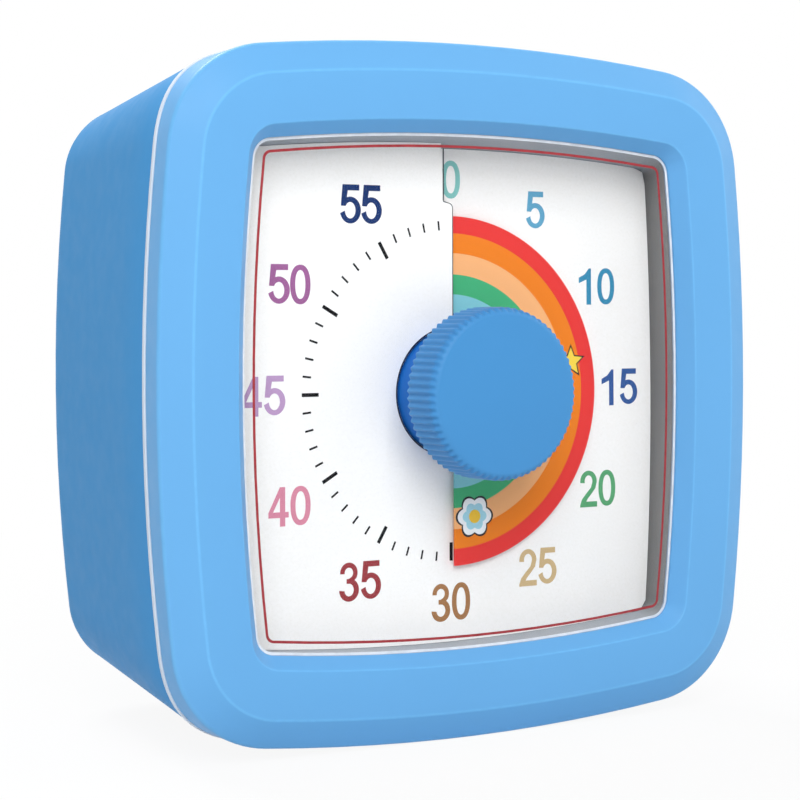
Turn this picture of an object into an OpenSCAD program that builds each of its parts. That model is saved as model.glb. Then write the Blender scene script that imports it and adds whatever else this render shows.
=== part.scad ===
// Visual countdown timer: a square case with bulged sides, a round knob that turns a
// coloured disc through the slit of a numbered card, and a battery quartz movement.
// The front faces -Y and +Z is up. The origin lies on the ground below the case's middle.
// Depths are measured from the bezel's front ridge towards the rear.

/* [Case] */
// Width and height across the bulged sides
face_size = 85; // [80:1:105]
// Depth from the bezel's front ridge to the rear face
case_depth = 47.2; // [46.6:0.1:60]
// Radius of the bulge of each side
side_radius = 266; // [180:1:600]
// Radius of the rounded corners
corner_radius = 13.4; // [12.4:0.1:20]
// Thickness of the moulded walls
wall = 1.8; // [1.4:0.1:2.2]
// How far each side has drawn in at the rear face
rear_taper = 4.3; // [1:0.02:5]
// Radius of the rounding between the sides and the rear face
rear_rounding = 5.2; // [3:0.1:6.4]
// How far the case's rim stands back from the widest outline
rim_inset = 0.35; // [0.2:0.05:0.8]
// How much fuller the corners are at the rims, where the two halves meet
rim_swell = 0.6; // [0:0.1:1]

/* [Bezel] */
// Depth of the bezel's rear edge
bezel_depth = 6; // [4.6:0.1:6.4]
// Depth of the widest line of the bezel
widest_depth = 1.9; // [1.4:0.1:2.4]
// Inset of the front ridge
ridge_inset = 3.6; // [3:0.1:4.4]
// Inset where the bevel round the window starts
bevel_inset = 9.4; // [9:0.1:9.8]
// Fall of the front face from the ridge to that bevel
face_fall = 0.3; // [0.1:0.05:0.6]
// Inset of the window opening
opening_inset = 10.85; // [10.4:0.05:11]
// Depth of the edge of the window opening
opening_depth = 2.26; // [1.8:0.02:2.4]

/* [Window] */
// Depth of the window pane's front face
pane_depth = 2.6; // [2.4:0.1:2.8]
// Thickness of the window pane
pane_thickness = 1.2; // [0.8:0.1:1.4]
// Radius of the hole for the knob's neck
pane_hole_radius = 8.4; // [8.2:0.1:9]

/* [Dial] */
// Mean depth of the dial card's face
dial_depth = 7.7; // [7.4:0.1:8.4]
// Step of the card across its slit, also the disc's travel in one turn
dial_step = 1.6; // [1.2:0.1:1.8]
// Thickness of the card and of the disc
sheet = 0.3; // [0.2:0.05:0.4]
// Radius of the coloured disc
disc_radius = 21.9; // [18:0.1:26.4]
// Radius of the hole in the card
card_hole_radius = 8; // [7.9:0.1:8.4]
// Sideways shift of the slit outside the disc
outer_slit_shift = 1.3; // [0.6:0.1:2]
// Width of the slits
slit_gap = 0.16; // [0.1:0.02:0.3]
// Minutes shown at rest
rest_minutes = 30; // [10:5:50]

/* [Knob] */
// Radius of the knob's cap
knob_radius = 10.5; // [9:0.05:12.6]
// How far the cap stands in front of the bezel's ridge
knob_proud = 5.4; // [4.4:0.1:6.5]
// Depth of the cap's rear rim
cap_rim_depth = 0.9; // [0:0.1:1.2]
// Radius of the dark neck
neck_radius = 7.8; // [7:0.1:8]
// Radius of the core that carries the disc's hub
core_radius = 6; // [5:0.1:6.2]
// Radius of the steel main shaft
shaft_radius = 1.5; // [1.2:0.1:2]

/* [Movement] */
// Width of the movement's plates
plate_width = 42; // [40:0.5:44]
// Height of the movement's plates
plate_height = 35; // [34:0.5:36]
// Thickness of the movement's plates
plate_thickness = 1.2; // [1:0.1:1.4]
// Clear space between the plates
plate_space = 9.8; // [9.8:0.1:10.4]
// Radius of the wheels' arbors between the plates
arbor_radius = 0.5; // [0.4:0.05:0.5]
// Radius of the pivots in the plates
pivot_radius = 0.35; // [0.25:0.05:0.4]

/* [Power and sound] */
// Radius of the battery
battery_radius = 7.1; // [7:0.05:7.2]
// Length of the battery with its nub
battery_length = 50.5; // [49:0.1:51]
// Radius of the buzzer
buzzer_radius = 9; // [7:0.1:10.8]
// Travel of the sound switch from one end to the other
switch_travel = 4; // [2:0.5:4]

/* [Fits] */
// Radial clearance of shafts and sliding sleeves
running = 0.05; // [0.02:0.01:0.08]
// Gap round pieces that drop into a pocket
pocket_gap = 0.15; // [0.1:0.05:0.3]
// Gap between a movable piece and what retains it
guide_gap = 0.2; // [0.1:0.05:0.3]

/* [Hidden] */

// Facets of a circle, the overlap that joins faces of one piece, the depth that one part of a
// piece sinks into the next, and how far a cut runs past a face
round_fn = 64;
tiny = 0.01;
weld = 0.2;
past = 1;

// --- Frame of the model ---
front_y = (knob_proud - case_depth) / 2;
axis_z = face_size / 2;

// Draws a flat shape in the front view and makes it solid between two depths.
module between(near, far)
    translate([0, front_y + far, axis_z])
        rotate([90, 0, 0])
            linear_extrude(far - near)
                children();

// A round bar or disc between two depths.
module bar(place, radius, near, far)
    between(near, far)
        translate(place)
            circle(radius, $fn = round_fn);

// A tube between two depths.
module tube(place, outer, inner, near, far)
    between(near, far)
        translate(place)
            difference() {
                circle(outer, $fn = round_fn);
                circle(inner, $fn = round_fn);
            }

// A block that is centred in the front view, between two depths.
module block(place, size, near, far)
    between(near, far)
        translate(place)
            square(size, center = true);

// A screw driven from behind: its tip, the seat of its head, and a cross recess.
module screw(place, shank_radius, head_radius, head_height, tip, seat) {
    bar(place, shank_radius, tip, seat);
    difference() {
        bar(place, head_radius, seat, seat + head_height);
        for (size = [[head_radius, 0.4], [0.4, head_radius]])
            block(place, size, seat + head_height / 2, seat + head_height + past);
    }
}

// --- Outline: four long arcs joined by tangent corner arcs ---
side_steps = 8;
corner_steps = 7;
side_centre = side_radius - face_size / 2;
corner_place = (sqrt(2 * pow(side_radius - corner_radius, 2) - pow(side_centre, 2)) - side_centre) / 2;
side_angle = atan2(corner_place, corner_place + side_centre);

function turned(p, angle) =
    [p[0] * cos(angle) - p[1] * sin(angle), p[0] * sin(angle) + p[1] * cos(angle)];

// The swell fills out the middle of each corner and leaves the sides as they are.
function quarter(inset, swell) = concat(
    [for (i = [0 : side_steps - 1])
        let (a = side_angle * (2 * i / side_steps - 1), r = side_radius - inset)
        [r * cos(a) - side_centre, r * sin(a)]],
    [for (i = [0 : corner_steps - 1])
        let (a = side_angle + (90 - 2 * side_angle) * i / corner_steps,
             r = corner_radius - inset + swell * pow(sin(180 * i / corner_steps), 2))
        [corner_place + r * cos(a), corner_place + r * sin(a)]]);

function outline(inset, swell = 0) =
    [for (q = [0 : 3]) for (p = quarter(inset, swell)) turned(p, 90 * q)];

// Distance from the axis to the outline in one direction.
function outline_reach(angle, inset) =
    let (c = max(abs(cos(angle)), abs(sin(angle))),
         along = corner_place * (abs(cos(angle)) + abs(sin(angle))),
         junction = atan2((side_radius - inset) * sin(side_angle),
                          (side_radius - inset) * cos(side_angle) - side_centre))
    acos(c) < junction
        ? sqrt(pow(side_radius - inset, 2) - pow(side_centre, 2) * (1 - c * c)) - side_centre * c
        : along + sqrt(pow(along, 2) - 2 * pow(corner_place, 2) + pow(corner_radius - inset, 2));

ring_count = 4 * (side_steps + corner_steps);

function ring(station) =
    [for (p = outline(station[0], is_undef(station[2]) ? 0 : station[2]))
        [p[0], front_y + station[1], axis_z + p[1]]];

function band_faces(first, second) =
    [for (i = [0 : ring_count - 1])
        let (j = (i + 1) % ring_count)
        each [[first + i, first + j, second + j], [first + i, second + j, second + i]]];

// A ring-shaped moulding from a closed profile of [inset, depth] or [inset, depth, swell]
// stations, which runs down the outside from front to rear and back up the inside.
module hoop(stations) {
    count = len(stations);
    polyhedron(
        points = [for (s = stations) each ring(s)],
        faces = [for (k = [0 : count - 1])
            each band_faces(k * ring_count, ((k + 1) % count) * ring_count)]);
}

// A dish from an open profile that starts at its floor inside and ends at its floor outside.
module dish(stations) {
    count = len(stations);
    last = (count - 1) * ring_count;
    polyhedron(
        points = [for (s = stations) each ring(s)],
        faces = concat(
            [[for (i = [ring_count - 1 : -1 : 0]) i]],
            [for (k = [0 : count - 2]) each band_faces(k * ring_count, (k + 1) * ring_count)],
            [[for (i = [0 : ring_count - 1]) last + i]]));
}

// --- Depth of each layer ---
pane_back = pane_depth + pane_thickness;
flange_thickness = 0.7;
rim_depth = bezel_depth + flange_thickness;
card_low = dial_depth + dial_step / 2;
disc_low = card_low + dial_step / 2 + sheet;
floor_depth = disc_low + 0.5;
floor_back = floor_depth + 1.5;
bush_back = floor_back + 2.8;
plate_near = floor_back + 3;
gear_near = plate_near + plate_thickness;
gear_far = gear_near + plate_space;
movement_back = gear_far + plate_thickness;
rear_inside = case_depth - wall;

// --- Case ---
column_place = corner_place - 2.6;
column_radius = 3.4;
column_near = 20;
case_seat = column_near + 3;
case_screw_radius = 1.15;
case_head_radius = 2.2;
screw_gap = 0.1;

function side_inset(depth) =
    rim_inset + (rear_taper - rim_inset) * (depth - rim_depth) / (case_depth - rim_depth);

function rear_corner(radius, extra) =
    [for (a = [0 : 22.5 : 90])
        [side_inset(case_depth - rear_rounding) + extra + radius * (1 - cos(a)),
         case_depth - rear_rounding + radius * sin(a)]];

function reversed(list) = [for (i = [len(list) - 1 : -1 : 0]) list[i]];

function corners(place) = [for (x = [-1, 1]) for (y = [-1, 1]) [x * place, y * place]];

// Battery bay
battery_place = [0, -8];
bay_clear = 0.5;
bay_wall = 1.2;
contact_thickness = 0.3;
spring_length = 5.4;
tab_width = 3;
tab_gap = 0.1;
bay_size = [battery_length + spring_length + 3 * contact_thickness, 2 * (battery_radius + bay_clear)];
bay_near = rear_inside - 2 * battery_radius - 2 * bay_clear;
battery_depth = rear_inside - battery_radius - bay_clear / 2;

// Battery door, its pocket and its hinge
door_thickness = 1.6;
door_margin = 2;
door_size = [bay_size[0] + 2 * door_margin, bay_size[1] + 2 * door_margin];
door_near = case_depth - door_thickness;
door_pin_radius = 0.5;
door_pin_length = 1.2;
door_axis = [battery_place[0], battery_place[1] - door_size[1] / 2 + door_thickness / 2];
door_axis_depth = case_depth - door_thickness / 2;
door_frame_depth = 1.4;
door_top = battery_place[1] + door_size[1] / 2;
finger_radius = 4;
finger_depth = 0.8;

// Circuit board and what stands on it
board_size = [40, 23.5];
board_place = [0, 15.25];
board_near = rear_inside - 9.4;
board_thickness = 1.2;
board_back = board_near + board_thickness;
board_posts = [[-17, 6], [17, 6], [1, 24.5]];
board_post_radius = 2.2;
board_screw_radius = 0.9;
board_screw_bite = 4;
buzzer_place = [-8.5, 14.5];
buzzer_thickness = 2.2;
switch_place = [12, 14.5];
switch_nib = [4.8, 3.2];
switch_slot = [switch_nib[0] + switch_travel + 2 * guide_gap, switch_nib[1] + 2 * guide_gap];
slider_plate = [switch_slot[0] + 3, 6];
slider_thickness = 1;
slider_near = rear_inside - guide_gap - slider_thickness;
slider_rail = 1;
grille_radius = 0.8;
grille_ring = 4.2;
buzzer_cap = 0.4;
buzzer_front = rear_inside - buzzer_thickness - buzzer_cap;

// Rubber feet under the tapered bottom
foot_place = 22;
foot_depths = [12, 36];
foot_radius = 3.5;
foot_bury = 0.9;
foot_boss = 2.1;
foot_boss_wall = 1.2;
foot_chamfer = 0.5;

function ground_rise(depth) =
    side_inset(depth) + side_radius - sqrt(pow(side_radius, 2) - pow(foot_place, 2));

function foot_top(depth) = ground_rise(depth) + foot_bury;

module feet_rods(radius, low, high)
    for (x = [-foot_place, foot_place], depth = foot_depths)
        translate([x, front_y + depth, low < 0 ? low : foot_top(depth)])
            cylinder(r = radius, h = (low < 0 ? foot_top(depth) - low : high), $fn = round_fn);

module rear_case() color([0.32, 0.58, 0.80]) {
    difference() {
        union() {
            dish(concat(
                reversed(rear_corner(rear_rounding - wall, wall)),
                [[rim_inset + wall, rim_depth, rim_swell]],
                [[rim_inset, rim_depth, rim_swell]],
                rear_corner(rear_rounding, 0)));
            // Screw columns
            for (p = corners(column_place))
                bar(p, column_radius, column_near, rear_inside + tiny);
            // Battery bay and the frame of its door
            block(battery_place, [bay_size[0] + 2 * bay_wall, bay_size[1] + 2 * bay_wall],
                  bay_near - bay_wall, rear_inside + tiny);
            block(battery_place, [door_size[0] + 4, door_size[1] + 3],
                  door_near - door_frame_depth, rear_inside + tiny);
            // Posts of the circuit board
            for (p = board_posts)
                bar(p, board_post_radius, board_back, rear_inside + tiny);
            // Holder of the buzzer
            tube(buzzer_place, buzzer_radius + pocket_gap + bay_wall, buzzer_radius + pocket_gap,
                 buzzer_front - weld, rear_inside + tiny);
            // Rails of the sound slider
            for (side = [-1, 1])
                block(switch_place + [0, side * (slider_plate[1] / 2 + guide_gap + slider_rail / 2)],
                      [slider_plate[0] + switch_travel, slider_rail],
                      slider_near - guide_gap, rear_inside + tiny);
            // Bosses over the feet
            feet_rods(foot_radius + foot_boss_wall, 0, foot_boss);
        }
        for (p = corners(column_place)) {
            bar(p, case_head_radius + 0.3, case_seat, case_depth + past);
            bar(p, case_screw_radius + screw_gap, column_near - past, case_seat + past);
        }
        block(battery_place, bay_size, bay_near, case_depth + past);
        block(battery_place, [door_size[0] + 2 * pocket_gap, door_size[1] + 2 * pocket_gap],
              door_near, case_depth + past);
        translate([-door_size[0] / 2 - door_pin_length - pocket_gap, front_y + door_axis_depth,
                   axis_z + door_axis[1]])
            rotate([0, 90, 0])
                cylinder(r = door_pin_radius + running,
                         h = door_size[0] + 2 * door_pin_length + 2 * pocket_gap, $fn = round_fn);
        // Finger recess above the door
        bar([0, door_top + pocket_gap], finger_radius, case_depth - finger_depth, case_depth + past);
        for (side = [-1, 1])
            block(battery_place + [side * (bay_size[0] - contact_thickness) / 2, 0],
                  [contact_thickness + tab_gap, tab_width + 2 * tab_gap],
                  bay_near - bay_wall - past, bay_near + past);
        for (p = board_posts)
            bar(p, board_screw_radius, board_back - past, board_back + past + board_screw_bite);
        for (k = [0 : 6])
            bar(buzzer_place + (k == 0 ? [0, 0] : turned([grille_ring, 0], 60 * k)),
                grille_radius, rear_inside - past, case_depth + past);
        block(switch_place, switch_slot, rear_inside - past, case_depth + past);
        feet_rods(foot_radius + running, -past, 0);
    }
}

// --- Bezel ---
bezel_wall = 1.6;
seat_inset = 9;
rim_wall_inset = 7.2;
// The dial frame's bosses for the bezel's screws stand clear of the rear case's corners
frame_boss_radius = 2;
frame_boss_gap = 0.397;
bezel_screw_place = corner_place
    + (corner_radius - rim_inset - wall - frame_boss_radius - frame_boss_gap) / sqrt(2);
bezel_screw_radius = 1;
bezel_screw_tip = bezel_wall + 1;
bezel_screw_seat = rim_depth + 1.5;

module bezel() color([0.45, 0.70, 0.95]) difference() {
    union() {
        hoop([
            [ridge_inset, 0],
            [2.2, 0.24], [1.1, 0.6], [0.35, 1.1], [0, widest_depth],
            [0.06, 3.4, rim_swell / 2], [rim_inset, bezel_depth, rim_swell],
            [rim_inset + bezel_wall, bezel_depth, rim_swell],
            [bezel_wall, widest_depth + 0.4],
            [ridge_inset, bezel_wall],
            [rim_wall_inset, bezel_wall + face_fall],
            [rim_wall_inset, bezel_depth],
            [seat_inset, bezel_depth],
            [seat_inset, pane_depth],
            [opening_inset, pane_depth],
            [opening_inset, opening_depth],
            [bevel_inset, face_fall]]);
        for (p = corners(bezel_screw_place))
            bar(p, bezel_screw_radius + 0.9, bezel_wall - 2 * weld, bezel_depth);
    }
    for (p = corners(bezel_screw_place))
        bar(p, bezel_screw_radius, bezel_screw_tip - weld, bezel_depth + past);
}

module bezel_screws() color([0.75, 0.75, 0.77])
    for (p = corners(bezel_screw_place))
        screw(p, bezel_screw_radius, 1.8, 1.2, bezel_screw_tip, bezel_screw_seat);

// --- Window pane ---
pane_inset = seat_inset + 0.2;

module window_pane() color([0.9, 0.95, 1, 0.3])
    between(pane_depth, pane_back) difference() {
        polygon(outline(pane_inset));
        circle(pane_hole_radius, $fn = round_fn);
    }

// --- Sheets that rise in one turn round the axis, like a screw's thread ---
// A point at an angle clockwise from the top, a radius and a height towards the front.
function dial_point(angle, radius, height) =
    [radius * sin(angle), front_y + card_low - height, axis_z + radius * cos(angle)];

// A solid between an upper and a lower grid of points. Rows run outwards, and the rows
// follow each other clockwise.
module sheet_solid(upper, lower) {
    rows = len(upper);
    cols = len(upper[0]);
    low = rows * cols;
    polyhedron(
        points = concat([for (row = upper) each row], [for (row = lower) each row]),
        faces = concat(
            [for (i = [0 : rows - 2]) for (j = [0 : cols - 2])
                let (a = i * cols + j, d = a + cols)
                each [[a, a + 1, d + 1], [a, d + 1, d],
                      [low + a, low + d + 1, low + a + 1], [low + a, low + d, low + d + 1]]],
            [for (i = [0 : rows - 2])
                let (a = i * cols, d = a + cols, b = a + cols - 1, c = b + cols)
                each [[a, d, low + d], [a, low + d, low + a],
                      [c, b, low + b], [c, low + b, low + c]]],
            [for (j = [0 : cols - 2])
                let (a = j, b = j + 1, d = (rows - 1) * cols + j, c = d + 1)
                each [[b, a, low + a], [b, low + a, low + b],
                      [d, c, low + c], [d, low + c, low + d]]]));
}

turn_steps = 72;
card_notch_radius = disc_radius + 1.7;
notch_ramp = 0.1;
card_inset = 11.6;
ledge_inset = 10.8;

// The slit stands at the top, and steps sideways outside the disc.
function slit_x(radius) = radius < card_notch_radius ? 0 : -outer_slit_shift;

function card_angle(step, radius) =
    let (start = asin((slit_x(radius) + slit_gap / 2) / radius),
         end = 360 + asin((slit_x(radius) - slit_gap / 2) / radius))
    start + (end - start) * step / turn_steps;

function card_height(angle) = dial_step * angle / 360;

function card_row(step, radii, inset, drop) =
    let (edge = card_angle(step, outline_reach(0, inset)))
    concat(
        [for (r = radii)
            let (a = card_angle(step, r))
            dial_point(a, r, card_height(a) - drop)],
        [dial_point(edge, outline_reach(edge, inset), card_height(edge) - drop)]);

module dial_card() color([0.98, 0.98, 0.97]) {
    radii = [card_hole_radius, card_notch_radius - notch_ramp, card_notch_radius + notch_ramp];
    sheet_solid(
        [for (i = [0 : turn_steps]) card_row(i, radii, card_inset, 0)],
        [for (i = [0 : turn_steps]) card_row(i, radii, card_inset, sheet)]);
}

hub_radius = neck_radius;
disc_inner_radius = hub_radius - 0.3;

function disc_angle(step, radius) =
    let (start = asin(slit_gap / 2 / radius))
    start + (360 - 2 * start) * step / turn_steps;

function disc_height(angle) = dial_step * (angle / 360 + rest_minutes / 60 - 0.5);

function disc_row(step, drop) =
    [for (r = [disc_inner_radius, disc_radius])
        let (a = disc_angle(step, r))
        dial_point(a + 6 * rest_minutes, r, disc_height(a) - drop)];

module rainbow_disc() color([0.91, 0.25, 0.25])
    sheet_solid(
        [for (i = [0 : turn_steps]) disc_row(i, 0)],
        [for (i = [0 : turn_steps]) disc_row(i, sheet)]);

// --- Dial frame: flange between the case halves, walls, floor and ledge of the card ---
flange_inset = 0.2;
frame_wall_inset = 9.3;
foot_inset = 11.4;
frame_hole_radius = neck_radius + 0.6;
bush_wall = 3;
ledge_gap = 0.05;
ledge_radii = [card_notch_radius + notch_ramp, card_notch_radius + 8 * notch_ramp];
plate_place = [0, -4.5];
plate_top = plate_place[1] + plate_height / 2;
post_inset = 2.6;
post_places = [for (x = [-1, 1]) for (y = [-1, 1])
    plate_place + [x * (plate_width / 2 - post_inset), y * (plate_height / 2 - post_inset)]];
movement_screw_radius = 1;
movement_screw_tip = floor_back - 0.4;
case_screw_tip = floor_back + 1.4;

module dial_frame() color([0.93, 0.95, 0.98]) difference() {
    union() {
        between(bezel_depth, rim_depth) difference() {
            polygon(outline(flange_inset, rim_swell));
            polygon(outline(frame_wall_inset + weld));
        }
        hoop([
            [frame_wall_inset, pane_back],
            [frame_wall_inset, floor_back],
            [foot_inset, floor_back],
            [foot_inset, card_low],
            [opening_inset - 0.25, pane_back]]);
        between(floor_depth, floor_back)
            polygon(outline(frame_wall_inset + weld));
        sheet_solid(
            [for (i = [0 : turn_steps]) card_row(i, ledge_radii, ledge_inset, sheet + ledge_gap)],
            [for (i = [0 : turn_steps])
                [for (p = card_row(i, ledge_radii, ledge_inset, 0))
                    [p[0], front_y + floor_depth + weld, p[2]]]]);
        // Bush of the knob's core
        bar([0, 0], core_radius + bush_wall, floor_depth + weld, bush_back);
        // Posts of the movement, screw posts of the case and bosses of the bezel's screws
        for (p = post_places)
            bar(p, 2.4, floor_back - tiny, plate_near);
        for (p = corners(column_place))
            bar(p, 3, floor_back - tiny, column_near);
        for (p = corners(bezel_screw_place))
            bar(p, frame_boss_radius, rim_depth - tiny, bezel_screw_seat);
    }
    bar([0, 0], frame_hole_radius, floor_depth - past, floor_back);
    bar([0, 0], core_radius + running, floor_depth, bush_back + past);
    for (p = post_places)
        bar(p, movement_screw_radius, movement_screw_tip - weld, plate_near + past);
    for (p = corners(column_place))
        bar(p, case_screw_radius, case_screw_tip - weld, column_near + past);
    for (p = corners(bezel_screw_place))
        bar(p, bezel_screw_radius + screw_gap, bezel_depth - past, bezel_screw_seat + past);
}

module case_screws() color([0.75, 0.75, 0.77])
    for (p = corners(column_place))
        screw(p, case_screw_radius, case_head_radius, 1.6, case_screw_tip, case_seat);

module rubber_feet() color([0.16, 0.17, 0.19])
    for (x = [-foot_place, foot_place], depth = foot_depths)
        translate([x, front_y + depth, 0]) {
            translate([0, 0, foot_chamfer])
                cylinder(r = foot_radius, h = foot_top(depth) - foot_chamfer, $fn = round_fn);
            cylinder(r1 = foot_radius - foot_chamfer, r2 = foot_radius, h = foot_chamfer,
                     $fn = round_fn);
        }

// --- Knob, core and disc hub ---
hub_near = 3.9;
hub_far = disc_low + 0.4;
neck_back = hub_near - dial_step / 2 - guide_gap;
core_front = -3.6;
core_back = bush_back + 0.1;
key_size = [1.6, 0.5];

module knob_cap() color([0.38, 0.64, 0.87])
    translate([0, front_y, axis_z])
        rotate([90, 0, 0])
            rotate_extrude($fn = round_fn)
                polygon(concat(
                    [[0, -core_front], [neck_radius, -core_front], [neck_radius, -cap_rim_depth],
                     [knob_radius, -cap_rim_depth]],
                    [for (a = [0 : 15 : 90])
                        [knob_radius - 1.2 + 1.2 * cos(a), knob_proud - 1.6 + 1.2 * sin(a)]],
                    [[knob_radius * 0.5, knob_proud - 0.1], [0, knob_proud]]));

module knob_core() color([0.17, 0.37, 0.68]) difference() {
    union() {
        bar([0, 0], neck_radius, core_front, neck_back);
        bar([0, 0], core_radius, neck_back - tiny, core_back);
        block([0, core_radius], [key_size[0], 2 * key_size[1]], neck_back - tiny, floor_back - 0.4);
    }
    bar([0, 0], shaft_radius, 0, core_back + past);
}

module disc_hub() color([0.17, 0.37, 0.68]) difference() {
    tube([0, 0], hub_radius, core_radius + running, hub_near, hub_far);
    block([0, core_radius], [key_size[0] + 2 * running, 2 * key_size[1] + 2 * running],
          hub_near - past, hub_far + past);
}

module main_shaft() color([0.8, 0.8, 0.82])
    bar([0, 0], shaft_radius, 0, movement_back + 0.6);

// --- Movement ---
pinion_teeth = 8;
centre_teeth = 64;
third_teeth = 60;
second_teeth = 40;
intermediate_teeth = 48;
centre_module = 0.3;
third_module = 0.25;
rotor_module = 0.2;

// Layers of the going train, counted from the front plate's rear face
cam_near = gear_near + 0.6;
cam_far = cam_near + 1.2;
centre_near = gear_near + 2.4;
third_near = gear_near + 4.4;
second_near = gear_near + 6.4;
intermediate_near = gear_near + 7.8;
wheel_thickness = 0.8;
pinion_over = 0.3;
axial_play = 0.2;

function polar(angle, distance) = [distance * cos(angle), distance * sin(angle)];

third_dir = 200;
second_dir = -50;
intermediate_dir = -10;
rotor_dir = 5;
third_place = polar(third_dir, centre_module * (centre_teeth + pinion_teeth) / 2);
second_place = third_place + polar(second_dir, third_module * (third_teeth + pinion_teeth) / 2);
intermediate_place = second_place
    + polar(intermediate_dir, third_module * (second_teeth + pinion_teeth) / 2);
rotor_place = intermediate_place
    + polar(rotor_dir, rotor_module * (intermediate_teeth + pinion_teeth) / 2);

// Teeth are given as stations of [height from the pitch circle, half width], in modules.
wheel_tooth = [[-1.15, 1.1], [0.8, 0.46]];
pinion_tooth = [[-1.25, 0.5], [-0.2, 0.7], [0.8, 0.36]];

function tooth_side(centre, teeth, size, tooth, side) =
    [for (s = tooth)
        let (r = size * (teeth / 2 + s[0]))
        polar(centre + side * s[1] * size / r * 180 / PI, r)];

module gear(teeth, size, tooth, phase)
    polygon([for (i = [0 : teeth - 1])
        let (centre = phase + 360 * i / teeth)
        each concat(tooth_side(centre, teeth, size, tooth, -1),
                    reversed(tooth_side(centre, teeth, size, tooth, 1)))]);

// Turn of a pinion that puts its gap where a wheel with a tooth at angle 0 meets it.
function mesh_phase(dir, wheel_teeth) =
    dir + 180 - 360 / pinion_teeth * (0.5 - dir * wheel_teeth / 360);

// An arbor with its pivots, a wheel and the pinion that the wheel before it drives.
module geared_arbor(place, teeth, size, near, driver_dir, driver_teeth, driver_size, driver_near) {
    bar(place, arbor_radius, gear_near + axial_play, gear_far - axial_play);
    bar(place, pivot_radius, plate_near + 0.1, movement_back - 0.1);
    between(near, near + wheel_thickness)
        translate(place) gear(teeth, size, wheel_tooth, 0);
    between(driver_near - pinion_over, driver_near + wheel_thickness + pinion_over)
        translate(place)
            gear(pinion_teeth, driver_size, pinion_tooth, mesh_phase(driver_dir, driver_teeth));
}

module centre_wheel() color([0.95, 0.90, 0.75]) difference() {
    union() {
        between(centre_near, centre_near + wheel_thickness)
            gear(centre_teeth, centre_module, wheel_tooth, 0);
        bar([0, 0], 2.6, centre_near - 0.5, centre_near + wheel_thickness);
    }
    bar([0, 0], shaft_radius + running, centre_near - past, centre_near + wheel_thickness + past);
    for (a = [45 : 90 : 315])
        bar(polar(a, 5.8), 1.7, centre_near - past, centre_near + wheel_thickness + past);
}

module third_wheel() color([0.95, 0.95, 0.92])
    geared_arbor(third_place, third_teeth, third_module, third_near,
                 third_dir, centre_teeth, centre_module, centre_near);

module second_wheel() color([0.90, 0.93, 0.97])
    geared_arbor(second_place, second_teeth, third_module, second_near,
                 second_dir, third_teeth, third_module, third_near);

module intermediate_wheel() color([0.95, 0.92, 0.88])
    geared_arbor(intermediate_place, intermediate_teeth, rotor_module, intermediate_near,
                 intermediate_dir, second_teeth, third_module, second_near);

magnet_radius = 2.8;
magnet_near = gear_near + 5;
magnet_far = gear_near + 7.3;
stator_near = gear_near + 6;
stator_thickness = 0.8;
stator_far = stator_near + stator_thickness;

module rotor() color([0.35, 0.35, 0.38]) {
    bar(rotor_place, arbor_radius, gear_near + axial_play, gear_far - axial_play);
    bar(rotor_place, pivot_radius, plate_near + 0.1, movement_back - 0.1);
    between(intermediate_near - pinion_over, intermediate_near + wheel_thickness + pinion_over)
        translate(rotor_place)
            gear(pinion_teeth, rotor_module, pinion_tooth,
                 mesh_phase(rotor_dir, intermediate_teeth));
}

module rotor_magnet() color([0.25, 0.25, 0.27])
    tube(rotor_place, magnet_radius, arbor_radius, magnet_near, magnet_far);

// Stator, coil and their two screws
stator_half = 3.9;
coil_gap = 0.3;
coil_radius = 2.4;
coil_place = [rotor_place[0] + stator_half + coil_radius + coil_gap, rotor_place[1]];
coil_reach = 8.75;
leg_height = 2.5;
coil_length = 2 * (coil_reach - leg_height) - 0.6;
core_size = [2.4, 0.8];
coil_screw_places = [for (s = [-1, 1]) coil_place + [0, s * (coil_reach - leg_height / 2)]];
coil_screw_radius = 0.6;

module stator() color([0.62, 0.62, 0.65])
    between(stator_near, stator_far) difference() {
        union() {
            translate(rotor_place) square([2 * stator_half, 2 * coil_reach], center = true);
            for (p = coil_screw_places)
                translate([rotor_place[0], p[1] - leg_height / 2])
                    square([p[0] - rotor_place[0] + core_size[0] / 2, leg_height]);
        }
        translate(rotor_place) circle(magnet_radius + 0.5, $fn = round_fn);
        for (p = coil_screw_places)
            translate(p) circle(coil_screw_radius, $fn = round_fn);
    }

module coil_core() color([0.55, 0.55, 0.58])
    between(stator_far, stator_far + core_size[1]) difference() {
        translate(coil_place) square([core_size[0], 2 * coil_reach], center = true);
        for (p = coil_screw_places)
            translate(p) circle(coil_screw_radius, $fn = round_fn);
    }

// Stands along the coil's own axis, which runs up the movement.
module along_coil()
    translate([coil_place[0], front_y + stator_far + core_size[1] / 2, axis_z + coil_place[1]])
        children();

flange = 0.8;
bobbin_radius = 1.5;

module coil_bobbin() color([0.96, 0.96, 0.94]) along_coil() difference() {
    union() {
        cylinder(r = bobbin_radius, h = coil_length, center = true, $fn = round_fn);
        for (s = [-1, 1])
            translate([0, 0, s * (coil_length - flange) / 2])
                cylinder(r = coil_radius, h = flange, center = true, $fn = round_fn);
    }
    cube([core_size[0], core_size[1], coil_length + 1], center = true);
}

module coil_winding() color([0.72, 0.40, 0.20]) along_coil() difference() {
    cylinder(r = coil_radius - 0.1, h = coil_length - 2 * flange, center = true, $fn = round_fn);
    cylinder(r = bobbin_radius, h = coil_length, center = true, $fn = round_fn);
}

module coil_screws() color([0.75, 0.75, 0.77])
    for (p = coil_screw_places)
        screw(p, coil_screw_radius, 1.1, 0.8, stator_near - 3, stator_far + core_size[1]);

// Cam that closes the alarm contact when its notch comes round, and the friction clutch
cam_radius = 4;
collar_radius = 2.6;
collar_near = centre_near + wheel_thickness + 1;
collar_far = collar_near + 2;

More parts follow.
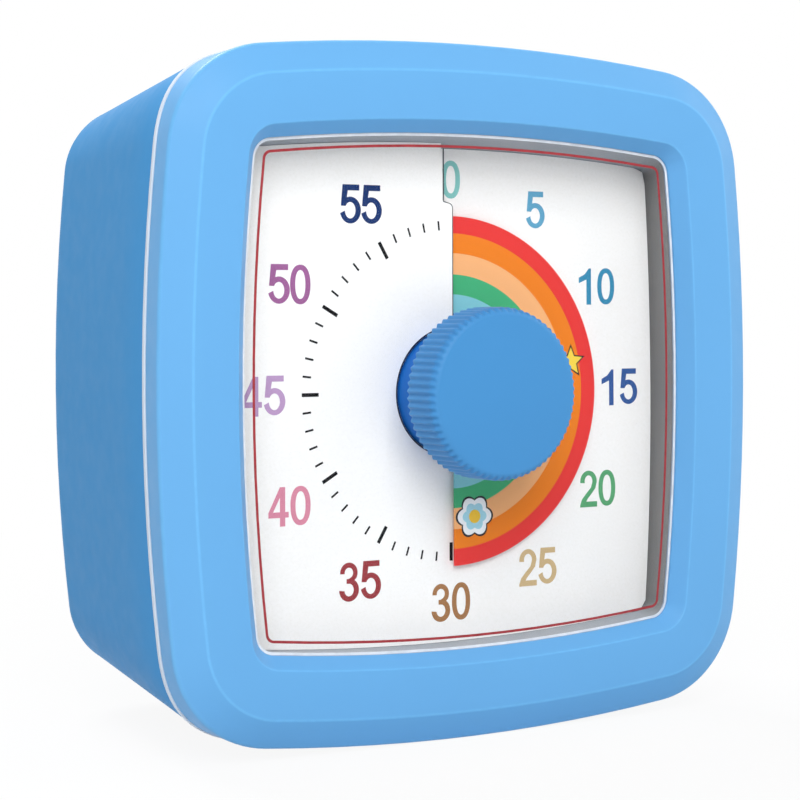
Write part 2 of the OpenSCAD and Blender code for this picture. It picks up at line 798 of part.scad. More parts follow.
module zero_cam() color([0.90, 0.88, 0.80])
    between(cam_near, cam_far) difference() {
        circle(cam_radius, $fn = round_fn);
        circle(shaft_radius, $fn = round_fn);
        rotate(-6 * rest_minutes)
            translate([0, cam_radius])
                rotate(45)
                    square(1.4, center = true);
    }

module clutch_spring() color([0.80, 0.78, 0.65])
    translate([0, front_y + collar_near, axis_z])
        rotate([90, 0, 0])
            rotate_extrude($fn = round_fn)
                polygon([[shaft_radius + 0.1, 0.05], [2.5, 0.05], [4.4, 0.7], [5.2, 0.7],
                         [5.2, 0.95], [4.3, 0.95], [2.4, 0.3], [shaft_radius + 0.1, 0.3]]);

module clutch_collar() color([0.85, 0.70, 0.35])
    tube([0, 0], collar_radius, shaft_radius, collar_near, collar_far);

plate_round = 3;

module plate_outline() {
    square([plate_width, plate_height - 2 * plate_round], center = true);
    square([plate_width - 2 * plate_round, plate_height], center = true);
}

module plate(near) between(near, near + plate_thickness) difference() {
    translate(plate_place) union() {
        plate_outline();
        for (x = [-1, 1], y = [-1, 1])
            translate([x * (plate_width / 2 - plate_round), y * (plate_height / 2 - plate_round)])
                circle(plate_round, $fn = round_fn);
    }
    circle(shaft_radius + running, $fn = round_fn);
    for (p = [third_place, second_place, intermediate_place, rotor_place])
        translate(p) circle(pivot_radius + running, $fn = round_fn);
    for (p = post_places)
        translate(p) circle(movement_screw_radius + screw_gap, $fn = round_fn);
}

module movement_front_plate() color([0.82, 0.84, 0.86]) {
    plate(plate_near);
    for (p = post_places)
        tube(p, 2, movement_screw_radius + screw_gap, gear_near - tiny, gear_far);
    for (p = coil_screw_places)
        tube(p, 1.2, coil_screw_radius, gear_near - tiny, stator_near);
}

module movement_back_plate() color([0.80, 0.82, 0.85]) plate(gear_far);

module movement_screws() color([0.75, 0.75, 0.77])
    for (p = post_places)
        screw(p, movement_screw_radius, 1.9, 1.2, movement_screw_tip, movement_back);

leaf_gap = 0.25;
leaf_end = 12.5;
leaf_thickness = 0.2;
leaf_block = 3;
leaf_low = cam_radius + leaf_gap;
leaf_top = leaf_low + leaf_thickness / 2 + leaf_block / 2;
leaf_middle = (gear_near + cam_far) / 2;

module zero_contact() color([0.85, 0.72, 0.40]) {
    block([leaf_end, leaf_low + leaf_thickness / 2], [leaf_block, leaf_block], gear_near, cam_far);
    between(cam_near, cam_far)
        translate([-1, leaf_low])
            square([leaf_end, leaf_thickness]);
}

// --- Circuit board, switch and buzzer ---
module circuit_board() color([0.12, 0.45, 0.25])
    between(board_near, board_back) difference() {
        translate(board_place) square(board_size, center = true);
        for (p = board_posts)
            translate(p) circle(board_screw_radius + screw_gap, $fn = round_fn);
    }

chip_size = [6, 6];
chip_place = [4, 13];
chip_height = 1.1;

module control_chip() color([0.10, 0.10, 0.11])
    block(chip_place, chip_size, board_near - chip_height, board_near);

crystal_radius = 1.5;
crystal_length = 6;
crystal_place = [-3, 8];

module quartz_crystal() color([0.78, 0.79, 0.80])
    translate([crystal_place[0] - crystal_length, front_y + board_near - crystal_radius,
               axis_z + crystal_place[1]])
        rotate([0, 90, 0])
            cylinder(r = crystal_radius, h = crystal_length, $fn = round_fn);

capacitor_place = [-12, 15];
capacitor_radius = 2.5;
capacitor_height = 5;

module capacitor() color([0.20, 0.22, 0.35])
    bar(capacitor_place, capacitor_radius, board_near - capacitor_height, board_near);

module board_screws() color([0.75, 0.75, 0.77])
    for (p = board_posts)
        mirror_depth(board_near)
            screw(p, board_screw_radius, 1.7, 1, board_near - board_screw_bite, board_near);

// Turns a piece round at one depth, so that a screw can be driven from the front.
module mirror_depth(depth)
    translate([0, 2 * (front_y + depth), 0])
        mirror([0, 1, 0])
            children();

switch_body = [10, 5];
lever_length = 1.4;
switch_top = slider_near - lever_length - guide_gap;

module sound_switch() color([0.72, 0.73, 0.75]) difference() {
    block(switch_place, switch_body, board_back, switch_top + lever_length - 0.2);
    block(switch_place, [switch_travel + 2.6, 2], switch_top, switch_top + 3);
}

module sound_slider() color([0.17, 0.37, 0.68]) {
    block(switch_place, slider_plate, slider_near, slider_near + slider_thickness);
    block(switch_place, switch_nib, slider_near, case_depth - 0.3);
    block(switch_place, [1.8, 1.4], slider_near - lever_length, slider_near + tiny);
}

module buzzer() color([0.15, 0.15, 0.17]) {
    bar(buzzer_place, buzzer_radius, rear_inside - buzzer_thickness, rear_inside);
    bar(buzzer_place, buzzer_radius * 0.6, buzzer_front, rear_inside - buzzer_thickness + tiny);
}

// --- Battery, its contacts and its door ---
nub_length = 1;
battery_start = bay_size[0] / 2 - contact_thickness - battery_length;

module along_battery(start)
    translate([start, front_y + battery_depth, axis_z + battery_place[1]])
        rotate([0, 90, 0])
            children();

module battery() color([0.55, 0.57, 0.60]) {
    along_battery(battery_start)
        cylinder(r = battery_radius, h = battery_length - nub_length, $fn = round_fn);
    along_battery(battery_start + battery_length - nub_length - tiny)
        cylinder(r = 2.7, h = nub_length + tiny, $fn = round_fn);
}

// A plate at one end of the bay, whose solder tab passes through the bay's floor.
module contact_plate(side)
    translate([side * (bay_size[0] - contact_thickness) / 2 - contact_thickness / 2, front_y,
               axis_z + battery_place[1]]) {
        translate([0, battery_depth - 5, -6])
            cube([contact_thickness, 10, 12]);
        translate([0, tab_front, -tab_width / 2])
            cube([contact_thickness, battery_depth - tab_front, tab_width]);
    }

// A round wire swept along points of [x, depth, height]. The side vector is any direction
// that no stretch of the wire runs along.
wire_sides = 8;

function unit(v) = v / norm(v);

function heading(points, k) =
    let (last = len(points) - 1)
    unit((k < last ? unit(points[k + 1] - points[k]) : [0, 0, 0])
        + (k > 0 ? unit(points[k] - points[k - 1]) : [0, 0, 0]));

module wire(points, radius, side) {
    last = len(points) - 1;
    translate([0, front_y, axis_z])
        polyhedron(
            points = [for (k = [0 : last])
                let (u = unit(cross(heading(points, k), side)), v = cross(heading(points, k), u))
                each [for (s = [0 : wire_sides - 1])
                    let (b = 360 * s / wire_sides)
                    points[k] + radius * (cos(b) * u - sin(b) * v)]],
            faces = concat(
                [[for (s = [wire_sides - 1 : -1 : 0]) s]],
                [for (k = [0 : last - 1]) for (s = [0 : wire_sides - 1])
                    let (n = (s + 1) % wire_sides, p = k * wire_sides, q = p + wire_sides)
                    each [[p + s, p + n, q + n], [p + s, q + n, q + s]]],
                [[for (s = [0 : wire_sides - 1]) last * wire_sides + s]]));
}

spring_turns = 3.5;
spring_wire = 0.35;
spring_big = 4.6;
spring_small = 2.6;
spring_steps = 42;

// The wire's centre line: a helix that narrows towards the battery.
function spring_point(k) =
    let (f = k / spring_steps,
         start = -bay_size[0] / 2 + contact_thickness + spring_wire,
         end = battery_start - spring_wire,
         r = spring_big + (spring_small - spring_big) * f,
         a = 360 * spring_turns * f)
    [start + (end - start) * f, battery_depth + r * cos(a), battery_place[1] + r * sin(a)];

module spring_contact() color([0.80, 0.81, 0.82]) {
    contact_plate(-1);
    wire([for (k = [0 : spring_steps]) spring_point(k)], spring_wire, [1, 0, 0]);
}

module flat_contact() color([0.80, 0.81, 0.82]) contact_plate(1);

// Grip grooves of the door, which shorten towards its middle
groove_first = 3;
groove_pitch = 1.4;
groove_length = 14;
groove_width = 0.7;
groove_depth = 0.4;
door_pad = [18, 6];
pad_height = 0.2;

module battery_door() color([0.32, 0.58, 0.80]) {
    difference() {
        union() {
            between(door_near, case_depth)
                translate([door_axis[0], (door_axis[1] + door_top) / 2])
                    square([door_size[0], door_size[1] - door_thickness / 2], center = true);
            translate([-door_size[0] / 2, front_y + door_axis_depth, axis_z + door_axis[1]])
                rotate([0, 90, 0])
                    cylinder(r = door_thickness / 2, h = door_size[0], $fn = round_fn);
        }
        for (k = [0 : 2])
            block([0, door_top - groove_first - groove_pitch * k], [groove_length - 3 * k, groove_width],
                  case_depth - groove_depth, case_depth + past);
    }
    translate([-door_size[0] / 2 - door_pin_length, front_y + door_axis_depth, axis_z + door_axis[1]])
        rotate([0, 90, 0])
            cylinder(r = door_pin_radius, h = door_size[0] + 2 * door_pin_length, $fn = round_fn);
    // Pad that steadies the battery
    block(battery_place, door_pad, door_near - pad_height, door_near + tiny);
}

// --- Leads of the battery, the buzzer, the coil and the alarm contact ---
lead_radius = 0.45;
lead_side = [0.4, 0.9, 0.1];
lead_depth = board_near - 1.4;
tab_front = bay_near - 2.6;

module battery_leads() color([0.75, 0.10, 0.10])
    for (s = [-1, 1])
        wire([[s * (bay_size[0] - contact_thickness) / 2, tab_front - lead_radius, battery_place[1]],
              [s * 27.4, tab_front - lead_radius, battery_place[1] + 8],
              [s * 24, lead_depth - 3, battery_place[1] + 18],
              [s * 18, lead_depth, 13],
              [s * 18, board_near, 13]], lead_radius, lead_side);

module buzzer_leads() color([0.10, 0.10, 0.12])
    for (s = [-1, 1])
        wire([[buzzer_place[0] + s * 2, buzzer_front, buzzer_place[1]],
              [buzzer_place[0] + s * 2, buzzer_front - 1.2, buzzer_place[1]],
              [buzzer_place[0] + s * 2, board_back + 1.2, buzzer_place[1] - 5],
              [buzzer_place[0] + s * 2, board_back, buzzer_place[1] - 5]], lead_radius, [1, 0, 0]);

module coil_leads() color([0.75, 0.45, 0.20])
    for (s = [-1, 1])
        wire([[coil_place[0] + 1.2 * s, stator_far + 2.2, coil_place[1] + coil_length / 2],
              [coil_place[0] + 1.2 * s, stator_far + 2.2, plate_top + 2],
              [coil_place[0] + 1.2 * s, stator_far + 5, plate_top + 4],
              [coil_place[0] + 1.2 * s, board_near, plate_top + 4]], lead_radius, [1, 0, 0]);

module contact_leads() color([0.20, 0.60, 0.30])
    wire([[leaf_end, leaf_middle, leaf_top],
          [leaf_end, leaf_middle, leaf_top + 2],
          [leaf_end - 2, leaf_middle, plate_top + 2],
          [leaf_end - 6, cam_near + 4, plate_top + 5],
          [leaf_end - 6, board_near - 3, plate_top + 6],
          [leaf_end - 6, board_near, plate_top + 6]], lead_radius, lead_side);

rear_case();
bezel();
window_pane();
dial_frame();
dial_card();
rainbow_disc();
disc_hub();
knob_cap();
knob_core();
main_shaft();
zero_cam();
clutch_spring();
clutch_collar();
centre_wheel();
third_wheel();
second_wheel();
intermediate_wheel();
rotor();
rotor_magnet();
stator();
coil_core();
coil_bobbin();
coil_winding();
coil_screws();
movement_front_plate();
movement_back_plate();
movement_screws();
zero_contact();
circuit_board();
control_chip();
quartz_crystal();
capacitor();
board_screws();
sound_switch();
sound_slider();
buzzer();
battery();
spring_contact();
flat_contact();
battery_door();
case_screws();
bezel_screws();
rubber_feet();
battery_leads();
buzzer_leads();
coil_leads();
contact_leads();
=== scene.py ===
import math

import bmesh
import bpy
from mathutils import Matrix, Vector
from mathutils.geometry import tessellate_polygon


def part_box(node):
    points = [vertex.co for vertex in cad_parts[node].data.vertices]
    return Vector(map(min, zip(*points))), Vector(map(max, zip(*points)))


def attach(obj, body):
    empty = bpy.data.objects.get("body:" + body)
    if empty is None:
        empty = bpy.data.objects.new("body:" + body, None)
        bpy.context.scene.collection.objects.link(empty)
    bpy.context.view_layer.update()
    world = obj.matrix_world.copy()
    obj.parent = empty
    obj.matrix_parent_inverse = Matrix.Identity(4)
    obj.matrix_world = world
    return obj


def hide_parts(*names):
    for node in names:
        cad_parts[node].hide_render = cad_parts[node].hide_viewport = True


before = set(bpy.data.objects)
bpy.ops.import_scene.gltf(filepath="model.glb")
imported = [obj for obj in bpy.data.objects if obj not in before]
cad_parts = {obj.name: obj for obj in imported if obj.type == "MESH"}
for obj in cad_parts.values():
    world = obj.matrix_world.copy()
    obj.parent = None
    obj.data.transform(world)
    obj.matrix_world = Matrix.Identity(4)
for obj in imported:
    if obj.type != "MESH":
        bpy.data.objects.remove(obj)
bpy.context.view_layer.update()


# --- Dial frame ---------------------------------------------------------------------------
# The white moulding that everything is built on: a flange that the two halves of the case
# close on, four leaning walls round the dial, a floor, and a ledge that carries the card.
# Injection moulded in one piece; posts behind it take the screws of the movement and case.
MM = 0.001
ridge_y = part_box("bezel")[0].y
axis_z = (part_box("bezel")[0].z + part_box("bezel")[1].z) / 2


def placed(x, depth, height):
    """A point in metres from millimetres: across, behind the bezel's ridge, over the shaft."""
    return (x * MM, ridge_y + depth * MM, axis_z + height * MM)


def span(node):
    """Lowest and highest corner of a CAD piece in the same millimetres."""
    return [((p.x / MM), (p.y - ridge_y) / MM, (p.z - axis_z) / MM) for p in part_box(node)]


half_width = span("bezel")[1][0]
side_radius = 266
corner_radius = 13.4
side_centre = side_radius - half_width
corner_place = (math.sqrt(2 * (side_radius - corner_radius) ** 2 - side_centre ** 2) - side_centre) / 2
side_angle = math.atan2(corner_place, corner_place + side_centre)


def outline(inset, swell=0, side_steps=12, corner_steps=18):
    """The rounded square: four long arcs joined by corner arcs, drawn in and swelled there."""
    quarter = []
    for i in range(side_steps):
        a = side_angle * (2 * i / side_steps - 1)
        r = side_radius - inset
        quarter.append((r * math.cos(a) - side_centre, r * math.sin(a)))
    for i in range(corner_steps):
        a = side_angle + (math.pi / 2 - 2 * side_angle) * i / corner_steps
        r = corner_radius - inset + swell * math.sin(math.pi * i / corner_steps) ** 2
        quarter.append((corner_place + r * math.cos(a), corner_place + r * math.sin(a)))
    turns = [(1, 0), (0, 1), (-1, 0), (0, -1)]
    return [(x * c - z * s, x * s + z * c) for c, s in turns for x, z in quarter]


def laid(flat, depth):
    """Points of the front view, set at one depth."""
    return [(x, depth, z) for x, z in flat]


def linked(name, data):
    """A new object in the scene."""
    thing = bpy.data.objects.new(name, data)
    bpy.context.scene.collection.objects.link(thing)
    return thing


def piece_of(name, points, faces):
    """An object from points in metres, whose faces are turned outwards."""
    mesh = bpy.data.meshes.new(name)
    mesh.from_pydata(points, [], faces)
    made = bmesh.new()
    made.from_mesh(mesh)
    bmesh.ops.recalc_face_normals(made, faces=made.faces)
    made.to_mesh(mesh)
    made.free()
    return linked(name, mesh)


def rings(name, loops, closed):
    """A mesh over loops of equally many points, either a hoop or a body with two flat ends."""
    count = len(loops[0])
    faces = []
    for k in range(len(loops) if closed else len(loops) - 1):
        a, b = k * count, (k + 1) % len(loops) * count
        faces += [(a + i, a + (i + 1) % count, b + (i + 1) % count, b + i) for i in range(count)]
    if not closed:
        last = (len(loops) - 1) * count
        faces += [tuple(range(count)), tuple(range(last, last + count))]
    return piece_of(name, [placed(*p) for loop in loops for p in loop], faces)


def stack(name, layers):
    """A solid over flat outlines of equally many points, each at its own depth."""
    return rings(name, [laid(flat, depth) for depth, flat in layers], False)


def round_flat(place, radius, steps=48):
    """The points of a circle in the front view."""
    angles = [2 * math.pi * k / steps for k in range(steps)]
    return [(place[0] + radius * math.cos(a), place[1] + radius * math.sin(a)) for a in angles]


def bar(place, radius, near, far):
    """A round bar between two depths."""
    return stack("bar", [(near, round_flat(place, radius)), (far, round_flat(place, radius))])


def corners_at(place):
    """Four places, one in each corner of the front view."""
    return [(x * place, z * place) for x in (-1, 1) for z in (-1, 1)]


def joined(piece, others, how):
    """Unites others with a piece, or cuts them out of it, and leaves one closed mesh."""
    for other in others:
        step = piece.modifiers.new("join", "BOOLEAN")
        step.operation = how
        step.solver = "MANIFOLD"
        step.object = other
        shape = bpy.data.meshes.new_from_object(
            piece.evaluated_get(bpy.context.evaluated_depsgraph_get()))
        piece.modifiers.remove(step)
        piece.data = shape
        bpy.data.objects.remove(other)
    return piece


def finished(piece, name, material, body, slot, *nodes, crease=32):
    """Names a piece, smooths it up to its creases, and says what it moves with and replaces."""
    piece.name = name
    piece.data.name = name
    piece.data.materials.clear()
    piece.data.materials.append(material)
    piece.data.shade_smooth()
    piece.data.set_sharp_from_angle(angle=math.radians(crease))
    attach(piece, body)
    if nodes:
        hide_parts(*nodes)
    return piece


def linear(code):
    """The linear colour of six hexadecimal digits."""
    parts = [int(code[i:i + 2], 16) / 255 for i in (0, 2, 4)]
    return tuple(c / 12.92 if c <= 0.04045 else ((c + 0.055) / 1.055) ** 2.4 for c in parts) + (1,)


def tinted(colour, share):
    """A colour made lighter by a share, or darker by a negative one."""
    return tuple(max(0, min(1, c * (1 + share))) for c in colour[:3]) + (1,)


class Nodes:
    """Adds nodes to a tree. An input takes a number or another node's output."""

    def __init__(self, tree):
        self.tree = tree

    def put(self, socket, value):
        if isinstance(value, bpy.types.NodeSocket):
            self.tree.links.new(value, socket)
        else:
            socket.default_value = value

    def add(self, kind, *values, **settings):
        """A node with its settings, whose first inputs take the values in order."""
        node = self.tree.nodes.new(kind)
        for key, value in settings.items():
            setattr(node, key, value)
        for socket, value in zip(node.inputs, values):
            self.put(socket, value)
        return node

    def feed(self, node, **values):
        """Sets a node's inputs by their names, with a line for a space."""
        for key, value in values.items():
            self.put(node.inputs[key.replace("_", " ")], value)
        return node

    def math(self, operation, *values):
        return self.add("ShaderNodeMath", *values, operation=operation).outputs[0]


class Finish(Nodes):
    """A node material on Object coordinates: patterns are sized in millimetres."""

    def __init__(self, name, roughness, metallic=0.0, specular=0.5):
        self.material = bpy.data.materials.new(name)
        self.material.use_nodes = True
        super().__init__(self.material.node_tree)
        self.shader = self.tree.nodes["Principled BSDF"]
        self.feed(self.shader, Roughness=roughness, Metallic=metallic, Specular_IOR_Level=specular)
        self.coords = self.add("ShaderNodeTexCoord").outputs["Object"]

    def noise(self, size, detail=2.0, vector=None):
        node = self.feed(self.add("ShaderNodeTexNoise"), Vector=vector or self.coords,
                         Scale=1 / (size * MM), Detail=detail)
        return node.outputs["Fac"]

    def spread(self, value, low, high, start=0.3, end=0.7):
        node = self.feed(self.add("ShaderNodeMapRange"), Value=value, From_Min=start, From_Max=end,
                         To_Min=low, To_Max=high)
        return node.outputs["Result"]

    def blend(self, factor, first, second):
        node = self.add("ShaderNodeMix", data_type="RGBA")
        for number, value in ((0, factor), (6, first), (7, second)):
            self.put(node.inputs[number], value)
        return node.outputs[2]

    def mottled(self, size, detail, first, second):
        """A colour that wanders from one to another in patches of a size."""
        return self.blend(self.spread(self.noise(size, detail), 0, 1), first, second)

    def attribute(self, name, output="Fac"):
        return self.add("ShaderNodeAttribute", attribute_name=name).outputs[output]

    def axis(self, letter):
        return self.add("ShaderNodeSeparateXYZ", self.coords).outputs[letter]

    def surface(self, colour, gloss, height, depth):
        """Sets the colour, the roughness and a relief that is at most depth millimetres high."""
        bump = self.feed(self.add("ShaderNodeBump"), Height=height, Distance=depth * MM, Strength=1.0)
        self.feed(self.shader, Base_Color=colour, Normal=bump.outputs["Normal"])
        if gloss is not None:
            self.feed(self.shader, Roughness=gloss)
        return self.material


def moulded(name, code, roughness=0.42, drift=0.015, grain=0.16, relief=0.0025, wear_and_highlight=0.0, specular=0.14):
    """Satin moulded plastic: slow drift of tone, a spark-eroded grain, and polished edges lightened by a painted
    highlight.
    """
    finish = Finish(name, roughness, specular=specular)
    base = linear(code)
    tone = finish.mottled(22, 1, tinted(base, -drift), tinted(base, drift))
    gloss = finish.spread(finish.noise(2.3, 4), roughness - 0.05, roughness + 0.06)
    if wear_and_highlight:
        patchy = finish.spread(finish.noise(1.1, 3), 0.6, 1.0)
        rub_and_highlight = finish.math("MULTIPLY", finish.attribute("wear_and_highlight"), patchy)
        tone = finish.blend(finish.math("MULTIPLY", rub_and_highlight, wear_and_highlight), tone, tinted(base, 0.6))
        gloss = finish.math("SUBTRACT", gloss, finish.math("MULTIPLY", rub_and_highlight, 0.12))
    return finish.surface(tone, gloss, finish.noise(grain, 2), relief)


flange_near = span("bezel")[1][1]
flange_far = span("rear_case")[0][1]
flange_inset = 0.2
rim_swell = 0.6
wall_inset = 9.3
pane_back = span("window_pane")[1][1]
card_front = span("dial_card")[0][1]
sheet = 0.3
card_low = span("dial_card")[1][1] - sheet
dial_step = card_low - card_front
floor_near = 10.1
floor_back = 11.6
wall_top_inset = 10.6
wall_foot_inset = 12.0
foot_side_out = 1.2
foot_straight = 0.9
foot_up = 0.4
foot_drop = 0.55


def wall_share(depth):
    """How far down the dial's walls a depth lies, from nothing at the pane to one at the card."""
    return max(0, min(1, (depth - pane_back) / (card_low - pane_back)))


def lean(x, z, depth):
    """Draws the walls' foot out and straighter at the sides, and lowers it a little."""
    share = wall_share(depth)
    half = half_width - wall_foot_inset
    out = foot_side_out + foot_straight * (z / half) ** 2
    return x * (1 + share * out / half), z * (1 + share * foot_up / half) - share * foot_drop


def clockwise(x, z):
    """Angle of a point of the dial in degrees, clockwise from the top."""
    return math.degrees(math.atan2(x, z)) % 360


def wall_reach(angle, depth):
    """Distance from the shaft to the leaning wall in one direction, at one depth."""
    inset = wall_top_inset + wall_share(depth) * (wall_foot_inset - wall_top_inset)
    loop = [lean(x, z, depth) for x, z in outline(inset)]
    c, s = math.sin(math.radians(angle)), math.cos(math.radians(angle))
    best = 0
    for (ax, az), (bx, bz) in zip(loop, loop[1:] + loop[:1]):
        dx, dz = bx - ax, bz - az
        cross = c * dz - s * dx
        if abs(cross) < 1e-9:
            continue
        along = (ax * dz - az * dx) / cross
        share_of_edge = (ax * s - az * c) / cross
        if along > 0 and -1e-6 <= share_of_edge <= 1 + 1e-6:
            best = max(best, along)
    return best


slit_gap = 0.16
slit_turn_radius = 23.6
slit_shift = 1.3
turn_steps = 180


def dial_sheet(name, radii, height_of, ends_of, thickness, turn=0.0, rim=None):
    """A sheet that rises once round the shaft. Each row runs outwards and starts at the slit."""
    upper = []
    for i in range(turn_steps + 1):
        row = []
        for r in radii:
            first, last = ends_of(r)
            row.append((first + (last - first) * i / turn_steps, r))
        if rim:
            a = row[-1][0]
            row.append((a, rim(a, height_of(a))))
        upper.append([(math.radians(a + turn), r, height_of(a)) for a, r in row])
    points = [placed(r * math.sin(t), card_low - h + drop, r * math.cos(t))
              for drop in (0, thickness) for row in upper for t, r, h in row]
    cols = len(upper[0])
    low = len(upper) * cols
    faces = []
    for i in range(turn_steps):
        for a in range(i * cols, i * cols + cols - 1):
            faces += [(a, a + 1, a + cols + 1, a + cols),
                      (low + a, low + a + cols, low + a + cols + 1, low + a + 1)]
        faces += [(a, a + cols, low + a + cols, low + a) for a in (i * cols, i * cols + cols - 1)]
    for j in range(cols - 1):
        faces += [(a, a + 1, low + a + 1, low + a) for a in (j, turn_steps * cols + j)]
    return piece_of(name, points, faces)


def slit_ends(radius):
    """Where the card starts and ends round the shaft at one radius."""
    middle = 0 if radius < slit_turn_radius else -slit_shift
    return (math.degrees(math.asin((middle + slit_gap / 2) / radius)),
            360 + math.degrees(math.asin((middle - slit_gap / 2) / radius)))


def card_height(angle):
    """How far the card has risen at an angle."""
    return dial_step * angle / 360


ease = 0.1
flange = stack("flange", [(depth, outline(flange_inset + drawn_in, rim_swell)) for depth, drawn_in in [
    (flange_near, ease), (flange_near + ease, 0), (flange_far - ease, 0), (flange_far, ease)]])
flange_hole = outline(wall_inset + 0.2)
dial_frame = joined(flange, [stack("hole", [(flange_near - 1, flange_hole), (flange_far + 1, flange_hole)])],
                    "DIFFERENCE")
wall_path = [(wall_inset, pane_back, False), (wall_inset, floor_back, False),
             (wall_foot_inset + 0.6, floor_back, True), (wall_foot_inset, card_low + 0.2, True),
             (wall_top_inset, pane_back + 0.15, True), (wall_top_inset - 0.15, pane_back, False)]
walls = rings("walls", [laid([lean(x, z, depth) if leans else (x, z) for x, z in outline(inset)], depth)
                        for inset, depth, leans in wall_path], True)
floor_flat = outline(wall_inset + 0.3)
dial_floor = stack("floor", [(floor_near, floor_flat), (floor_back, floor_flat)])
ledge_back = floor_near + 0.2
ledge = dial_sheet("ledge", [slit_turn_radius + 0.1, slit_turn_radius + 0.8], card_height, slit_ends,
                   ledge_back - card_low, rim=lambda a, h: wall_reach(a, card_low - h) + 0.5)
for corner in ledge.data.vertices:
    if (corner.co.y - ridge_y) / MM > card_low + 0.9:
        corner.co.y = ridge_y + ledge_back * MM
    else:
        corner.co.y += (sheet + 0.05) * MM
bush_back = 14.4
column_place = span("case_screws")[1][0] - 2.2
column_near = 20
bezel_screw_place = span("bezel_screws")[1][0] - 1.8
bezel_screw_seat = span("bezel_screws")[1][1] - 1.2
plate_near = span("movement_front_plate")[0][1]
post_places = [(x, z) for x in (-18.4, 18.4) for z in (-19.4, 10.4)]
columns, bosses = corners_at(column_place), corners_at(bezel_screw_place)
joined(dial_frame, [walls, dial_floor, ledge, bar((0, 0), 9, ledge_back, bush_back)]
       + [bar(p, 2.4, floor_back - 0.1, plate_near) for p in post_places]
       + [bar(p, 3, floor_back - 0.1, column_near) for p in columns]
       + [bar(p, 2, flange_far - 0.1, bezel_screw_seat) for p in bosses], "UNION")
joined(dial_frame, [bar((0, 0), 8.4, floor_near - 1, floor_back), bar((0, 0), 6.05, floor_near, bush_back + 1)]
       + [bar(p, 1, floor_back - 0.6, plate_near + 1) for p in post_places]
       + [bar(p, 1.15, floor_back + 1.2, column_near + 1) for p in columns]
       + [bar(p, 1.1, flange_near - 1, bezel_screw_seat + 1) for p in bosses], "DIFFERENCE")

# Painted shade: the walls round the dial are coloured grey, darkest at the sides, where the shade in the well falls
shade = dial_frame.data.attributes.new("shade", "FLOAT", "FACE")
for face, value in zip(dial_frame.data.polygons, shade.data):
    depth = (face.center.y - ridge_y) / MM
    height = (face.center.z - axis_z) / MM
    inward = -(face.normal.x * face.center.x / MM + face.normal.z * height)
    across = face.normal.x ** 2 / max(face.normal.x ** 2 + face.normal.z ** 2, 1e-9)
    on_wall = pane_back - 0.05 < depth < card_low + 0.7 and inward > 8
    value.value = 0.6 + 0.4 * across if on_wall else 0.0
white = Finish("satin_white_moulding", 0.5, specular=0.3)
# Painted shade: the walls' grey darkens from the pane down to the card
shade_towards_card = white.spread(white.axis("Y"), 0, 1, placed(0, pane_back, 0)[1], placed(0, card_low, 0)[1])
white.surface(white.blend(white.attribute("shade"), white.mottled(16, 1, linear("CBD6E3"), linear("D6DFEA")),
                          white.blend(shade_towards_card, linear("8F8F8E"), linear("606060"))),
              white.spread(white.noise(2, 3), 0.46, 0.6), white.noise(0.16, 2), 0.004)
finished(dial_frame, "dial_frame_shell", white.material, "case", "frame_white", "dial_frame")


# --- Movement -----------------------------------------------------------------------------
# A battery quartz movement screwed behind the dial frame: two moulded plates, four wheels of
# unfilled acetal, a rotor with its magnet, a stamped stator, and a coil on its bobbin.
def painted(node, material):
    """Gives a CAD piece its finish."""
    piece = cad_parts[node]
    piece.data.materials.clear()
    piece.data.materials.append(material)


def bright_metal(name, code, roughness=0.28, brush=(1, 1, 1)):
    """Rolled or turned metal: fine lines along the way it was worked, and dull patches."""
    finish = Finish(name, roughness, 1.0)
    lines = finish.feed(finish.add("ShaderNodeMapping"), Vector=finish.coords, Scale=brush)
    scratch = finish.noise(0.5, 4, lines.outputs["Vector"])
    base = linear(code)
    return finish.surface(finish.mottled(3, 3, tinted(base, -0.06), tinted(base, 0.06)),
                          finish.spread(scratch, roughness - 0.08, roughness + 0.12), scratch, 0.002)


plate_plastic = moulded("grey_movement_moulding", "D3D7DC", 0.48, 0.02)
painted("movement_front_plate", plate_plastic)
painted("movement_back_plate", plate_plastic)
for node, code in {"centre_wheel": "F0E8CE", "third_wheel": "F1F1EC", "second_wheel": "E6EDF6",
                   "intermediate_wheel": "F2EAE0", "rotor": "F3F1EA", "zero_cam": "E8E2D0",
                   "coil_bobbin": "F4F4F0"}.items():
    painted(node, moulded(node + "_acetal", code, 0.34, 0.02, 0.4, 0.002))
for node, title, code, roughness, brush in [
        ("stator", "stator_iron", "9EA0A6", 0.34, (1, 1, 14)),
        ("coil_core", "core_iron", "8E9097", 0.38, (1, 1, 14)),
        ("rotor_magnet", "sintered_magnet", "4A4A50", 0.5, (1, 1, 1)),
        ("main_shaft", "shaft_steel", "C9CBD0", 0.2, (1, 20, 1)),
        ("clutch_spring", "spring_bronze", "C9BE98", 0.3, (1, 1, 1)),
        ("clutch_collar", "collar_brass", "D3B468", 0.24, (1, 1, 1)),
        ("zero_contact", "contact_leaf", "D2B576", 0.26, (20, 1, 1))]:
    painted(node, bright_metal(title, code, roughness, brush))

winding = Finish("enamelled_wire", 0.3, 0.6)
turns = winding.feed(winding.add("ShaderNodeTexWave", bands_direction="Z"), Vector=winding.coords,
                     Scale=1 / (0.9 * MM), Distortion=0.2).outputs["Fac"]
painted("coil_winding", winding.surface(winding.blend(turns, linear("7A3A14"), linear("C97B3C")),
                                        None, turns, 0.05))


